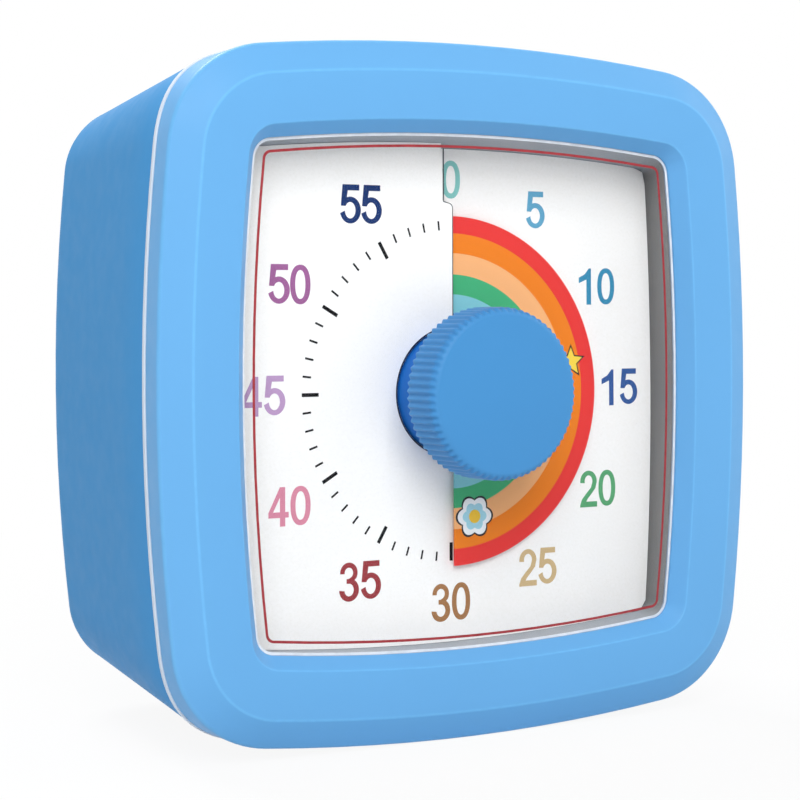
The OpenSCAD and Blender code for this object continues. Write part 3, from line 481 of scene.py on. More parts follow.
# --- Screws -------------------------------------------------------------------------------
# Pan-headed steel screws with a cross recess and a rolled thread, driven from behind. One
# node tree makes a screw from its sizes and sets it at each seat; the board's face forwards.
class Growth(Nodes):
    """A Geometry Nodes tree that sets one shape on many points."""

    def __init__(self, name, sockets):
        tree = bpy.data.node_groups.new(name, "GeometryNodeTree")
        for title, kind in sockets.items():
            tree.interface.new_socket(title, in_out="INPUT", socket_type="NodeSocket" + kind)
        tree.interface.new_socket("Result", in_out="OUTPUT", socket_type="NodeSocketGeometry")
        super().__init__(tree)
        self.given = self.add("NodeGroupInput").outputs

    def vector(self, x, y, z):
        return self.add("ShaderNodeCombineXYZ", x, y, z).outputs[0]

    def changed(self, geometry, **values):
        """Moves, turns or scales a shape."""
        return self.feed(self.add("GeometryNodeTransform"), Geometry=geometry, **values).outputs[0]

    def repeated(self, points, shape, material, weld=None, **values):
        """Sets the shape on the points, welds the copies if told to, and ends the tree."""
        spread = self.feed(self.add("GeometryNodeInstanceOnPoints"), Points=points, Instance=shape, **values)
        result = self.add("GeometryNodeRealizeInstances", spread.outputs[0]).outputs[0]
        if weld is not None:
            result = self.feed(self.add("GeometryNodeMergeByDistance"), Geometry=result,
                               Distance=weld).outputs[0]
        coat = self.feed(self.add("GeometryNodeSetMaterial"), Geometry=result, Material=material)
        self.add("NodeGroupOutput", coat.outputs[0])
        return self.tree


def grown(name, mesh, tree, values):
    """Runs a node tree on a mesh with values for its inputs, and keeps the plain result."""
    seed = linked(name, mesh)
    step = seed.modifiers.new("grow", "NODES")
    step.node_group = tree
    for item in tree.interface.items_tree:
        if item.in_out == "INPUT" and item.name in values:
            step[item.identifier] = values[item.name]
    shape = bpy.data.meshes.new_from_object(seed.evaluated_get(bpy.context.evaluated_depsgraph_get()))
    seed.modifiers.remove(step)
    seed.data = shape
    return seed


def screw_tree():
    """Instances a threaded screw on every point it is given."""
    sizes = ("Shank radius", "Head radius", "Head height", "Length", "Pitch", "Tilt")
    tree = Growth("screws", {"Seats": "Geometry", **dict.fromkeys(sizes, "Float"), "Steel": "Material"})
    given, add, feed, calc, vector = tree.given, tree.add, tree.feed, tree.math, tree.vector
    head_radius, head_height = given["Head radius"], given["Head height"]
    thread_depth = 0.36
    slot_share = 0.2

    shank = feed(add("GeometryNodeMeshCylinder"), Vertices=20, Side_Segments=40,
                 Radius=given["Shank radius"], Depth=given["Length"])
    x, y, z = add("ShaderNodeSeparateXYZ", add("GeometryNodeInputPosition").outputs[0]).outputs
    turn = calc("DIVIDE", calc("ARCTAN2", y, x), 2 * math.pi)
    thread = calc("PINGPONG", calc("ADD", turn, calc("DIVIDE", z, given["Pitch"])), 0.5)
    scale = calc("SUBTRACT", 1.0, calc("MULTIPLY", thread, thread_depth))
    cut = feed(add("GeometryNodeSetPosition"), Geometry=shank.outputs["Mesh"],
               Position=vector(calc("MULTIPLY", x, scale), calc("MULTIPLY", y, scale), z))
    body = tree.changed(cut.outputs[0], Translation=vector(0.0, 0.0, calc("MULTIPLY", given["Length"], -0.5)))

    ball = feed(add("GeometryNodeMeshUVSphere"), Segments=32, Rings=16, Radius=head_radius)
    dome = tree.changed(ball.outputs["Mesh"], Scale=vector(1.0, 1.0, calc("DIVIDE", head_height, head_radius)))
    below = tree.changed(add("GeometryNodeMeshCube").outputs["Mesh"], Translation=(0.0, 0.0, -0.5))
    blades = add("GeometryNodeJoinGeometry")
    slot = calc("MULTIPLY", head_radius, slot_share)
    for wide, high in ((head_radius, slot), (slot, head_radius)):
        blade = add("GeometryNodeMeshCube", vector(wide, high, head_height)).outputs["Mesh"]
        feed(blades, Geometry=tree.changed(blade, Translation=vector(0.0, 0.0, head_height)))
    head = add("GeometryNodeMeshBoolean", dome, operation="DIFFERENCE", solver="EXACT")
    whole = add("GeometryNodeMeshBoolean", operation="UNION", solver="EXACT")
    for target, cutter in ((head, below), (head, blades.outputs[0]), (whole, body), (whole, head.outputs["Mesh"])):
        tree.put(target.inputs["Mesh 2"], cutter)
    seats = add("GeometryNodeMeshToPoints", given["Seats"]).outputs[0]
    return tree.repeated(seats, whole.outputs["Mesh"], given["Steel"], Rotation=vector(given["Tilt"], 0.0, 0.0))


steel = bright_metal("screw_steel", "C4C6CA", 0.3)
screws = screw_tree()
thread_pitch = 0.55
coil_low, coil_high = span("coil_screws")
coil_screw_places = [((coil_low[0] + coil_high[0]) / 2, z) for z in (coil_low[2] + 1.1, coil_high[2] - 1.1)]
# Places, radius of the shank and of the head, height of the head, and which way the head faces
screw_kinds = {
    "movement_screws": (post_places, 1.0, 1.9, 1.2, 1),
    "coil_screws": (coil_screw_places, 0.6, 1.1, 0.8, 1),
    "bezel_screws": (bosses, 1.0, 1.8, 1.2, 1),
    "board_screws": ([(-17, 6), (17, 6), (1, 24.5)], 0.9, 1.7, 1.0, -1),
    "case_screws": (columns, 1.15, 2.2, 1.6, 1),
}
for node, (places, shank_radius, head_radius, head_height, facing) in screw_kinds.items():
    near, far = span(node)[0][1], span(node)[1][1]
    seat = far - head_height if facing > 0 else near + head_height
    points = bpy.data.meshes.new(node)
    points.from_pydata([placed(x, seat, z) for x, z in places], [], [])
    made = grown(node, points, screws, {
        "Shank radius": shank_radius * MM, "Head radius": head_radius * MM, "Head height": head_height * MM,
        "Length": (far - near - head_height) * MM, "Pitch": thread_pitch * MM, "Tilt": -facing * math.pi / 2,
        "Steel": steel})
    finished(made, node + "_steel", steel, "case", "steel", node)


# --- Dial card ----------------------------------------------------------------------------
# White card that lies on the frame's ledge. It is slit from the hole to the edge at the top,
# and one end of the slit stands a step before the other, so that the disc passes through.
card_hole_radius = 8.0
card_play = 0.03
card = dial_sheet("card", [card_hole_radius, 15.0, slit_turn_radius - 0.1, slit_turn_radius + 0.1],
                  card_height, slit_ends, sheet, rim=lambda a, h: wall_reach(a, card_low - h) - card_play)
stock = Finish("white_card_stock", 0.62)
fibre = stock.noise(0.35, 5)
stock.surface(stock.blend(stock.spread(fibre, 0, 1), linear("F9F8F5"), linear("FEFDFB")),
              stock.spread(stock.noise(3, 3), 0.55, 0.68), fibre, 0.004)
finished(card, "dial_card_sheet", stock.material, "case", "card_white", "dial_card")


# --- Numbers of the dial --------------------------------------------------------------------
# Twelve numbers printed on the card every five minutes, each in its own colour. The digits
# are condensed and bold, and set so close that the two of a pair touch. The slit's edge and the hole get painted
# shadow.
def arc(cx, cz, rx, rz, start, end, steps=14, power=2.0):
    """Points of an ellipse, or of a squarer curve, from one angle in degrees to another."""
    points = []
    for k in range(steps + 1):
        a = math.radians(start + (end - start) * k / steps)
        c, s = math.cos(a), math.sin(a)
        points.append((cx + rx * math.copysign(abs(c) ** (2 / power), c),
                       cz + rz * math.copysign(abs(s) ** (2 / power), s)))
    return points


def digit_outlines(digit):
    """The outer line of a digit and the lines of its holes, in millimetres."""
    if digit == "0":
        return [arc(1.4, 2.4, rx, rz, 0, 348, 29, 2.25) for rx, rz in ((1.37, 2.37), (0.69, 1.73))]
    if digit == "1":
        return [[(1.95, 0), (1.95, 4.72), (1.62, 4.72), (0.95, 3.95), (0.02, 3.5), (0.02, 2.8), (1.23, 3.28),
                 (1.23, 0)]]
    if digit == "2":
        return [arc(1.35, 3.35, 1.33, 1.42, 186, 0, 18)
                + [(2.45, 2.45), (1.75, 1.65), (1.2, 1.1), (0.98, 0.72), (2.72, 0.72), (2.72, 0), (0, 0), (0, 0.3),
                   (0.3, 1.05), (0.95, 1.75), (1.72, 2.5)]
                + arc(1.35, 3.38, 0.63, 0.78, -20, 197, 16)]
    if digit == "3":
        return [arc(1.3, 3.5, 1.22, 1.27, 184, -34, 20) + [(2.08, 2.58)]
                + arc(1.32, 1.4, 1.38, 1.42, 52, -180, 24)
                + arc(1.32, 1.4, 0.66, 0.78, -172, 74, 20)
                + [(1.3, 2.18), (0.98, 2.18), (0.98, 2.76), (1.3, 2.76)]
                + arc(1.3, 3.5, 0.6, 0.65, -70, 190, 18)]
    if digit == "4":
        return [[(1.55, 4.72), (2.25, 4.72), (2.25, 1.72), (2.72, 1.72), (2.72, 1.05), (2.25, 1.05), (2.25, 0),
                 (1.55, 0), (1.55, 1.05), (0, 1.05), (0, 1.68)],
                [(1.55, 1.72), (0.62, 1.72), (1.55, 3.5)]]
    return [[(0.41, 4.81), (2.7, 4.81), (2.7, 4.1), (1.12, 4.1), (0.98, 3.26)]
            + arc(1.47, 1.72, 1.45, 1.62, 104, -166, 28)
            + arc(1.45, 1.7, 0.74, 1.0, -176, 150, 24) + [(0.16, 2.24)]]


def printed(name, shapes, depth_at, thickness):
    """Thin ink on the dial: each shape is a colour and its outer and hole lines."""
    points, faces, inks = [], [], []
    for ink, lines in shapes:
        flat = [p for line in lines for p in line]
        first, count = len(points), len(flat)
        for lift in (thickness, 0):
            points += [placed(x, depth_at(x, z) - lift, z) for x, z in flat]
        for a, b, c in tessellate_polygon([[Vector((x, z, 0)) for x, z in line] for line in lines]):
            faces += [(first + a, first + b, first + c), (first + count + c, first + count + b, first + count + a)]
        for line in lines:
            for i in range(len(line)):
                a, b = first + i, first + (i + 1) % len(line)
                faces.append((a, b, b + count, a + count))
            first += len(line)
        inks += [ink] * (len(faces) - len(inks))
    piece = piece_of(name, points, faces)
    for value, ink in zip(piece.data.attributes.new("ink", "FLOAT_COLOR", "FACE").data, inks):
        value.color = ink
    return piece


def printing_ink(name, roughness=0.55):
    """Offset ink: its colour comes from the print, and its cover varies a little."""
    finish = Finish(name, roughness, specular=0.06)
    cover = finish.spread(finish.noise(0.25, 3), 0.0, 0.02)
    return finish.surface(finish.blend(cover, finish.attribute("ink", "Color"), (1, 1, 1, 1)),
                          finish.spread(finish.noise(1.2, 3), roughness - 0.05, roughness + 0.07),
                          finish.noise(0.12, 2), 0.002)


def card_depth(x, z):
    """Depth of the card's face under a point of the dial."""
    start, _ = slit_ends(math.hypot(x, z))
    angle = clockwise(x, z)
    if start < 0 and angle >= 360 + start:
        angle -= 360
    return card_low - card_height(angle)


number_radius = 26.5
digit_height = 4.8
digit_width = 2.8
digit_advance = 2.93
zero_shift = 0.6
ink_thickness = 0.02
number_inks = ["86C8C3", "5FA4C6", "358CB2", "32599A", "58A571", "CFB486",
               "A5764C", "9A3A3F", "D98AA1", "BA98C2", "9D5F94", "0F3068"]
number_shapes = []
for k, code in enumerate(number_inks):
    text = str(5 * k)
    a = math.radians(30 * k)
    left = number_radius * math.sin(a) - (digit_advance * (len(text) - 1) + digit_width) / 2
    left += zero_shift if k == 0 else 0
    low = number_radius * math.cos(a) - digit_height / 2
    for i, digit in enumerate(text):
        number_shapes.append((linear(code), [[(left + digit_advance * i + x, low + z) for x, z in line]
                                             for line in digit_outlines(digit)]))
dial_ink = printing_ink("dial_ink")
numbers = printed("numbers", number_shapes, card_depth, ink_thickness)
finished(numbers, "dial_numbers", dial_ink, "case", "card_white")

# Painted shadow: a dark grey line along the card's raised edge at the slit, and a dark blue ring round its hole, wider
# at the left, stand in for the shade at these edges
near_edge = -slit_gap / 2
far_edge = -slit_shift - slit_gap / 2
notch = slit_turn_radius - 0.05
line_top = half_width - wall_foot_inset - 0.3
line_low = card_hole_radius + 0.1
bend = (near_edge - 0.7, notch - 0.72)
slit_shadow_line = ([(far_edge, line_top), (far_edge, notch + 0.15)] + arc(*bend, 0.68, 0.68, 82, 0, 8)
             + [(near_edge, line_low), (near_edge - 0.13, line_low)] + arc(*bend, 0.57, 0.57, 0, 78, 8)
             + [(far_edge - 0.1, notch + 0.02), (far_edge - 0.19, notch + 0.3), (far_edge - 0.19, line_top)])
hole_shadow_line = [p for more, start, end in ((0.2, 91.5, 269), (0.02, 269, 91.5))
             for p in arc(0, 0, card_hole_radius + more, card_hole_radius + more, start, end, 60)]
edge_shadow_lines = printed("edge_shadow_lines", [(linear("4E5055"), [slit_shadow_line]), (linear("14243E"), [hole_shadow_line])],
                    card_depth, ink_thickness)
finished(edge_shadow_lines, "slit_edge_painted_shadow", dial_ink, "case", "card_white")


# --- Minute marks ---------------------------------------------------------------------------
# Black strokes round the disc, one a minute with a longer and wider one every five minutes;
# the slit takes the place of the first. Printed on the card with the numbers.
def mark_tree():
    """Sets a stroke at each minute, laid on the rising card."""
    sizes = ("Outer radius", "Long", "Short", "Wide", "Narrow", "Rise", "Front", "Axis height")
    tree = Growth("minute_marks", {"Stroke": "Geometry", **dict.fromkeys(sizes, "Float"), "Ink": "Material"})
    given, calc = tree.given, tree.math
    minute = calc("ADD", tree.add("GeometryNodeInputIndex").outputs[0], 1.0)
    angle = calc("MULTIPLY", minute, math.radians(6))
    fifth = calc("LESS_THAN", calc("MODULO", minute, 5.0), 0.5)

    def either(usual, at_fifth):
        """One size, or another at every fifth minute."""
        more = calc("SUBTRACT", given[at_fifth], given[usual])
        return calc("ADD", given[usual], calc("MULTIPLY", fifth, more))

    length = either("Short", "Long")
    radius = calc("SUBTRACT", given["Outer radius"], calc("MULTIPLY", length, 0.5))
    rise = calc("MULTIPLY", given["Rise"], calc("DIVIDE", minute, 60.0))
    spot = tree.vector(calc("MULTIPLY", radius, calc("SINE", angle)), calc("SUBTRACT", given["Front"], rise),
                       calc("ADD", given["Axis height"], calc("MULTIPLY", radius, calc("COSINE", angle))))
    minutes = tree.feed(tree.add("GeometryNodePoints"), Count=59, Position=spot)
    return tree.repeated(minutes.outputs[0], given["Stroke"], given["Ink"], Rotation=tree.vector(0.0, angle, 0.0),
                         Scale=tree.vector(either("Narrow", "Wide"), 1.0, length))


def plain_ink(name, roughness, size, first, second, specular=0.5):
    """Ink of a line, mottled between two colours."""
    finish = Finish(name, roughness, specular=specular)
    return finish.surface(finish.mottled(size, 3, linear(first), linear(second)), None, finish.noise(0.12, 2), 0.002)


black_ink = plain_ink("black_ink", 0.5, 0.3, "0C0C0E", "1E1E22", 0.06)
stroke = bmesh.new()
bmesh.ops.create_cube(stroke, size=1.0, matrix=Matrix.Diagonal((1, ink_thickness * MM, 1, 1)))
stroke_mesh = bpy.data.meshes.new("stroke")
stroke.to_mesh(stroke_mesh)
stroke.free()
marks = grown("marks", stroke_mesh, mark_tree(), {
    "Outer radius": 21.3 * MM, "Long": 2.3 * MM, "Short": 1.15 * MM, "Wide": 0.45 * MM, "Narrow": 0.25 * MM,
    "Rise": dial_step * MM, "Front": placed(0, card_low, 0)[1], "Axis height": axis_z, "Ink": black_ink})
finished(marks, "minute_marks", black_ink, "case", "card_white")


# --- Coloured disc --------------------------------------------------------------------------
# Printed film disc in rainbow bands, slit once, that turns with the knob and passes through
# the card's slit. A plain flower and a star are printed on its bands.
disc_radius = span("rainbow_disc")[1][0]
disc_hole_radius = 7.5
rest_minutes = 30


def disc_ends(radius):
    """Where the disc starts and ends round the shaft at one radius."""
    gap = math.degrees(math.asin(slit_gap / 2 / radius))
    return gap, 360 - gap


def disc_height(angle):
    """How far the disc has risen at an angle from its own slit."""
    return dial_step * (angle / 360 + rest_minutes / 60 - 0.5)


disc = dial_sheet("disc", [disc_hole_radius, 14.6, disc_radius - 0.06, disc_radius], disc_height, disc_ends,
                  sheet, turn=6 * rest_minutes)
film = Finish("printed_rainbow_film", 0.4, specular=0.06)
from_shaft = film.feed(film.add("ShaderNodeMapping"), Vector=film.coords, Location=(0, 0, -axis_z), Scale=(1, 0, 1))
radius_of = film.add("ShaderNodeVectorMath", from_shaft.outputs["Vector"], operation="LENGTH").outputs["Value"]
bands = film.add("ShaderNodeValToRGB")
bands.color_ramp.interpolation = "CONSTANT"
ramp = bands.color_ramp.elements
for k, (start, code) in enumerate([(0, "275DAC"), (9.7, "84CCD6"), (12.1, "41B178"), (14.6, "F9B57A"),
                                   (17.2, "F08018"), (19.7, "E83634")]):
    stop = ramp[k] if k < 2 else ramp.new(start / disc_radius)
    stop.position = start / disc_radius
    stop.color = linear(code)
film.feed(bands, Fac=film.spread(radius_of, 0, 1, 0, disc_radius * MM))
cover = film.spread(film.noise(0.2, 3), 0.0, 0.02)
film.surface(film.blend(cover, bands.outputs["Color"], (1, 1, 1, 1)), film.spread(film.noise(4, 3), 0.5, 0.6),
             film.noise(0.15, 2), 0.0015)
finished(disc, "rainbow_disc_film", film.material, "dial_disc", "disc_print", "rainbow_disc")


def disc_depth(x, z):
    """Depth of the disc's face under a point of the dial."""
    return card_low - disc_height((clockwise(x, z) - 6 * rest_minutes) % 360)


def dial_spot(minute, radius):
    """The point of the dial at a minute and a distance from the shaft."""
    a = math.radians(6 * minute)
    return radius * math.sin(a), radius * math.cos(a)


def drawn_round(centre, reaches, first=0):
    """A closed line of points at equal angles round a centre, each at its own distance."""
    angles = [first + 2 * math.pi * k / len(reaches) for k in range(len(reaches))]
    return [(centre[0] + r * math.cos(a), centre[1] + r * math.sin(a)) for r, a in zip(reaches, angles)]


def flower(radius, petals=6, swell=0.28, steps=120):
    """A flower's line with equal round petals."""
    return drawn_round(flower_place, [radius * (1 + swell * abs(math.cos(petals * math.pi * k / steps)))
                                      for k in range(steps)])


def star(radius, waist):
    """A star's line with five points."""
    return drawn_round(star_place, [radius, waist] * 5, math.pi / 2)


flower_place = dial_spot(28.2, 16.1)
star_place = dial_spot(13.2, 18.5)
motif_thickness = 0.012
motif_layers = [
    [("20242C", flower(2.2)), ("20242C", star(2.3, 1.05))],
    [("F8FBFD", flower(1.98)), ("F7D54A", star(1.85, 0.86))],
    [("A9DCEB", flower(1.4))],
    [("F5C63C", round_flat(flower_place, 0.85, 40))],
]
disc_ink = printing_ink("motif_ink", 0.4)
for level, shapes in enumerate(motif_layers):
    motif = printed("motif", [(linear(code), [line]) for code, line in shapes],
                    lambda x, z, level=level: disc_depth(x, z) - motif_thickness * level, motif_thickness)
    finished(motif, "disc_motif_layer_" + str(level + 1), disc_ink, "dial_disc", "disc_print")


# --- Knob -----------------------------------------------------------------------------------
# A hollow ribbed cap pressed on a dark core that turns in the frame's bush. The disc's hub
# slides on the core, keyed to it, so that the disc follows the card's rise as it turns.
knob_low, knob_high = span("knob_cap")
knob_radius = knob_high[0]
knob_front = knob_low[1]
cap_rim = knob_high[1]
neck_radius = 7.8
core_front = span("knob_core")[0][1]
rib_count = 70
rib_depth = 0.3
edge_radius = 1.2
face_dome = 0.35


def cap_profile():
    """(radius, depth, share of the rib's depth, share of rubbing with a painted highlight) from the middle of the face
    round to the axis behind.
    """
    face_radius = 8.4
    path = []
    for k in range(10):
        r = face_radius * k / 9
        path.append((r, knob_front + face_dome * (r / face_radius) ** 2, 0, 0))
    centre = (knob_radius - edge_radius, knob_front + face_dome + edge_radius)
    for k in range(1, 13):
        a = math.pi / 2 * k / 12
        share = max(0, min(1, (k - 2) / 7))
        path.append((centre[0] + edge_radius * math.sin(a), centre[1] - edge_radius * math.cos(a),
                     share * share * (3 - 2 * share), share))
    for depth in (knob_front + 2.6, knob_front + 3.6, knob_front + 4.6, cap_rim - 0.6, cap_rim - 0.14):
        path.append((knob_radius, depth, 1, 1))
    path += [(knob_radius - 0.05, cap_rim - 0.04, 1, 1), (knob_radius - 0.2, cap_rim, 1, 0.3)]
    path += [(neck_radius + 0.25, cap_rim, 0, 0), (neck_radius + 0.03, cap_rim - 0.2, 0, 0),
             (neck_radius + 0.01, core_front + 0.02, 0, 0), (0, core_front + 0.02, 0, 0)]
    return path


def sector(steps=8):
    """One rib's wedge of the cap, from valley to valley."""
    points, wear_and_highlight, faces = [], [], []
    path = cap_profile()
    for r, depth, share, worn_and_highlit in path:
        for k in range(steps + 1):
            a = 2 * math.pi / rib_count * (k / steps - 0.5)
            valley = abs(2 * k / steps - 1)
            reach = r - rib_depth * share * (1 - math.cos(math.pi * valley)) / 2
            points.append((reach * math.sin(a) * MM, depth * MM, reach * math.cos(a) * MM))
            # a rib's crest gets rubbing with a painted highlight, fading to none in the valleys
            wear_and_highlight.append(worn_and_highlit * max(0, 1 - 1.6 * valley))
    row = steps + 1
    for i in range(len(path) - 1):
        faces += [(a, a + 1, a + row + 1, a + row) for a in range(i * row, i * row + steps)]
    mesh = bpy.data.meshes.new("cap_sector")
    mesh.from_pydata(points, [], faces)
    mesh.attributes.new("wear_and_highlight", "FLOAT", "POINT").data.foreach_set("value", wear_and_highlight)
    return mesh


def ring_tree():
    """Repeats a wedge round the shaft and welds the seams."""
    tree = Growth("ring_of_ribs", {"Wedge": "Geometry", "Count": "Int", "Middle": "Vector", "Weld": "Float",
                                   "Plastic": "Material"})
    given = tree.given
    share = tree.math("DIVIDE", tree.add("GeometryNodeInputIndex").outputs[0], given["Count"])
    angle = tree.math("MULTIPLY", share, 2 * math.pi)
    points = tree.feed(tree.add("GeometryNodePoints"), Count=given["Count"], Position=given["Middle"])
    return tree.repeated(points.outputs[0], given["Wedge"], given["Plastic"], given["Weld"],
                         Rotation=tree.vector(0.0, angle, 0.0))


def sealed(piece):
    """Merges doubled points, drops faces without area and turns the faces outwards."""
    made = bmesh.new()
    made.from_mesh(piece.data)
    bmesh.ops.remove_doubles(made, verts=made.verts, dist=0.002 * MM)
    bmesh.ops.dissolve_degenerate(made, edges=made.edges, dist=0.0005 * MM)
    bmesh.ops.recalc_face_normals(made, faces=made.faces)
    made.to_mesh(piece.data)
    made.free()
    return piece


knob_plastic = moulded("knob_blue_moulding", "468CC6", 0.42, 0.012, wear_and_highlight=0.15)
cap = grown("cap", sector(), ring_tree(), {
    "Count": rib_count, "Middle": (0, ridge_y, axis_z), "Weld": 0.002 * MM, "Plastic": knob_plastic})
finished(sealed(cap), "knob_cap_ribbed", knob_plastic, "knob", "knob_blue", "knob_cap", crease=50)
neck_plastic = moulded("neck_blue_moulding", "1E6ABE", specular=0.1)
painted("knob_core", neck_plastic)
painted("disc_hub", neck_plastic)


# --- Window pane ----------------------------------------------------------------------------
# Clear polystyrene plate behind the bezel's opening, with a hole for the knob's neck. A red line
# is printed on its face inside the opening, and a pale line at the opening's edge is a painted highlight.
pane_near, pane_far = span("window_pane")[0][1], span("window_pane")[1][1]
pane_inset = 9.2
pane_hole_radius = 8.4
pane_edge = 0.12


def around(radius):
    """A circle whose points stand at the same angles as the outline's."""
    return [(radius * x / math.hypot(x, z), radius * z / math.hypot(x, z)) for x, z in outline(pane_inset)]


def mixed(nodes, share, first, second, end):
    """Ends a node tree in two shaders, mixed by a share."""
    mix = nodes.add("ShaderNodeMixShader", share, first.outputs[0], second.outputs[0])
    nodes.put(nodes.tree.nodes[end].inputs["Surface"], mix.outputs[0])


eased, full = outline(pane_inset + pane_edge), outline(pane_inset)
hole_eased, hole_full = around(pane_hole_radius + pane_edge), around(pane_hole_radius)
pane = rings("pane", [laid(ring, depth) for ring, depth in [
    (eased, pane_near), (full, pane_near + pane_edge), (full, pane_far - pane_edge), (eased, pane_far),
    (hole_eased, pane_far), (hole_full, pane_far - pane_edge), (hole_full, pane_near + pane_edge),
    (hole_eased, pane_near)]], True)
clear = bpy.data.materials.new("clear_polystyrene")
clear.use_nodes = True
glass = Nodes(clear.node_tree)
glass.tree.nodes.remove(glass.tree.nodes["Principled BSDF"])
through = glass.feed(glass.add("ShaderNodeBsdfTransparent"), Color=(0.996, 0.998, 1, 1))
ripple = glass.feed(glass.add("ShaderNodeTexNoise"), Vector=glass.add("ShaderNodeTexCoord").outputs["Object"],
                    Scale=1 / (9 * MM))
wave = glass.feed(glass.add("ShaderNodeBump"), Height=ripple.outputs["Fac"], Distance=0.01 * MM)
shine = glass.feed(glass.add("ShaderNodeBsdfGlossy"), Roughness=0.04, Normal=wave.outputs["Normal"])
steep = glass.math("POWER", glass.add("ShaderNodeLayerWeight").outputs["Facing"], 5.0)
mixed(glass, glass.math("MULTIPLY_ADD", steep, 0.25, 0.005), through, shine, "Material Output")
finished(pane, "window_pane_clear", clear, "case", "clear_pane", "window_pane")


def border_line(inset, width=0.32):
    """A thin line on the pane's face, parallel to the outline: the printed red one, and the pale painted highlight."""
    near = pane_near - ink_thickness
    corners = [(inset, near), (inset + width, near), (inset + width, pane_near), (inset, pane_near)]
    return rings("line", [laid(outline(i), depth) for i, depth in corners], True)


# Painted highlight: a pale line at the opening's edge stands in for the glint on the pane's edge
rim_highlight_ink = plain_ink("pale_rim_ink", 0.4, 1.5, "D9DDE2", "EEF0F3")
finished(border_line(10.9), "pane_rim_painted_highlight", rim_highlight_ink, "case", "frame_white")
red_ink = plain_ink("red_border_ink", 0.4, 0.8, "8E1C25", "A62C33")
finished(border_line(12.27), "pane_border_line", red_ink, "case", "disc_print")


# --- Bezel ----------------------------------------------------------------------------------
# Light blue front half of the case: a flat chamfer outside a soft ridge, a flat face and a
# bevel down to the square window. Its rear edge closes on the frame's flange.
ridge_inset = 3.6
rim_inset = 0.35
widest = 1.85
bezel_back = flange_near
bezel_wall = 1.6
opening_inset = 10.85
opening_depth = 2.26


def filleted(corners):
    """A closed profile of (across, along, radius, share of rubbing with a painted highlight) corners whose radii become
    arcs.
    """
    path = []
    for i, (x, y, radius, wear_and_highlight) in enumerate(corners):
        here = Vector((x, y))
        if radius == 0:
            path.append((x, y, wear_and_highlight))
            continue
        before = (Vector(corners[i - 1][:2]) - here).normalized()
        after = (Vector(corners[(i + 1) % len(corners)][:2]) - here).normalized()
        half = math.acos(max(-1, min(1, before.dot(after)))) / 2
        centre = here + (before + after).normalized() * radius / math.sin(half)
        first = here + before * radius / math.tan(half) - centre
        last = here + after * radius / math.tan(half) - centre
        turn = math.atan2(first.x * last.y - first.y * last.x, first.dot(last))
        steps = max(2, math.ceil(abs(turn) / math.radians(12)))
        for k in range(steps + 1):
            a = turn * k / steps
            c, s = math.cos(a), math.sin(a)
            path.append((centre.x + first.x * c - first.y * s, centre.y + first.x * s + first.y * c,
                         wear_and_highlight * math.sin(math.pi * k / steps)))
    return path


def shell(name, path, swell_of, closed):
    """The case's outline drawn along a path of (inset, depth, share of rubbing with a painted highlight), and that
    share kept on its points.
    """
    piece = rings(name, [laid(outline(inset, swell_of(inset, depth)), depth) for inset, depth, _ in path], closed)
    count = len(piece.data.vertices) // len(path)
    layer = piece.data.attributes.new("wear_and_highlight", "FLOAT", "POINT")
    layer.data.foreach_set("value", [wear_and_highlight for _, _, wear_and_highlight in path for _ in range(count)])
    return piece


def bezel_swell(inset, depth):
    """The bezel's outer wall fills out at the corners from the widest line to the rim."""
    outer = inset < rim_inset + bezel_wall + 0.01
    return rim_swell * max(0, depth - widest) / (bezel_back - widest) if outer else 0


# The fourth number of each corner is its share of rubbing with a painted highlight; the ridge gets the most, as a light
# line.
bezel_blue = moulded("bezel_blue_moulding", "67A9DF", 0.42, 0.01, wear_and_highlight=0.35)
bezel = shell("bezel", filleted([
    (ridge_inset, 0, 0.9, 1), (-0.05, widest, 0.7, 0.6), (rim_inset, bezel_back, 0.22, 0.5),
    (rim_inset + bezel_wall, bezel_back, 0, 0), (bezel_wall, 2.3, 0.5, 0), (ridge_inset, bezel_wall, 0.8, 0),
    (7.2, 1.9, 0, 0), (7.2, bezel_back, 0, 0), (9, bezel_back, 0, 0), (9, pane_near, 0, 0),
    (opening_inset, pane_near, 0, 0), (opening_inset, opening_depth, 0.12, 0.4), (9.4, 0.3, 0.35, 0.8)]),
    bezel_swell, True)
joined(bezel, [bar(p, 1.9, 1.2, bezel_back) for p in bosses], "UNION")
joined(bezel, [bar(p, 1.0, 2.4, bezel_back + 1) for p in bosses], "DIFFERENCE")
finished(bezel, "bezel_shell", bezel_blue, "case", "bezel_blue", "bezel")


# --- Circuit board --------------------------------------------------------------------------
# A small board behind the movement with the drive chip, its quartz crystal, a capacitor, the
# sound switch and the buzzer. Soldered by hand, and held on three posts of the rear case.
board = Finish("solder_resist_green", 0.35)
tracks = board.feed(board.add("ShaderNodeTexBrick"), Vector=board.coords, Scale=1 / (4 * MM),
                    Mortar_Size=0.04, Color1=linear("1F7A45"), Color2=linear("1B6E3E"), Mortar=linear("2E9A5B"))
painted("circuit_board", board.surface(tracks.outputs["Color"], None, tracks.outputs["Fac"], 0.03))
painted("control_chip", moulded("chip_epoxy", "1B1B1E", 0.55, 0.05))
painted("quartz_crystal", bright_metal("crystal_can", "C6C8CB", 0.25, (1, 1, 14)))
painted("capacitor", moulded("shrink_sleeve", "343A5C", 0.28, 0.04, 0.3, 0.002))
painted("sound_switch", bright_metal("switch_can", "B8BABE", 0.34, (1, 1, 14)))
painted("buzzer", moulded("buzzer_black", "26262A", 0.42, 0.04))
for node, code in {"battery_leads": "BE2323", "buzzer_leads": "1C1C20", "contact_leads": "379A50"}.items():
    painted(node, moulded(node + "_sleeve", code, 0.3, 0.05, 0.4, 0.003))
painted("coil_leads", bright_metal("coil_lead_copper", "B87840", 0.3))


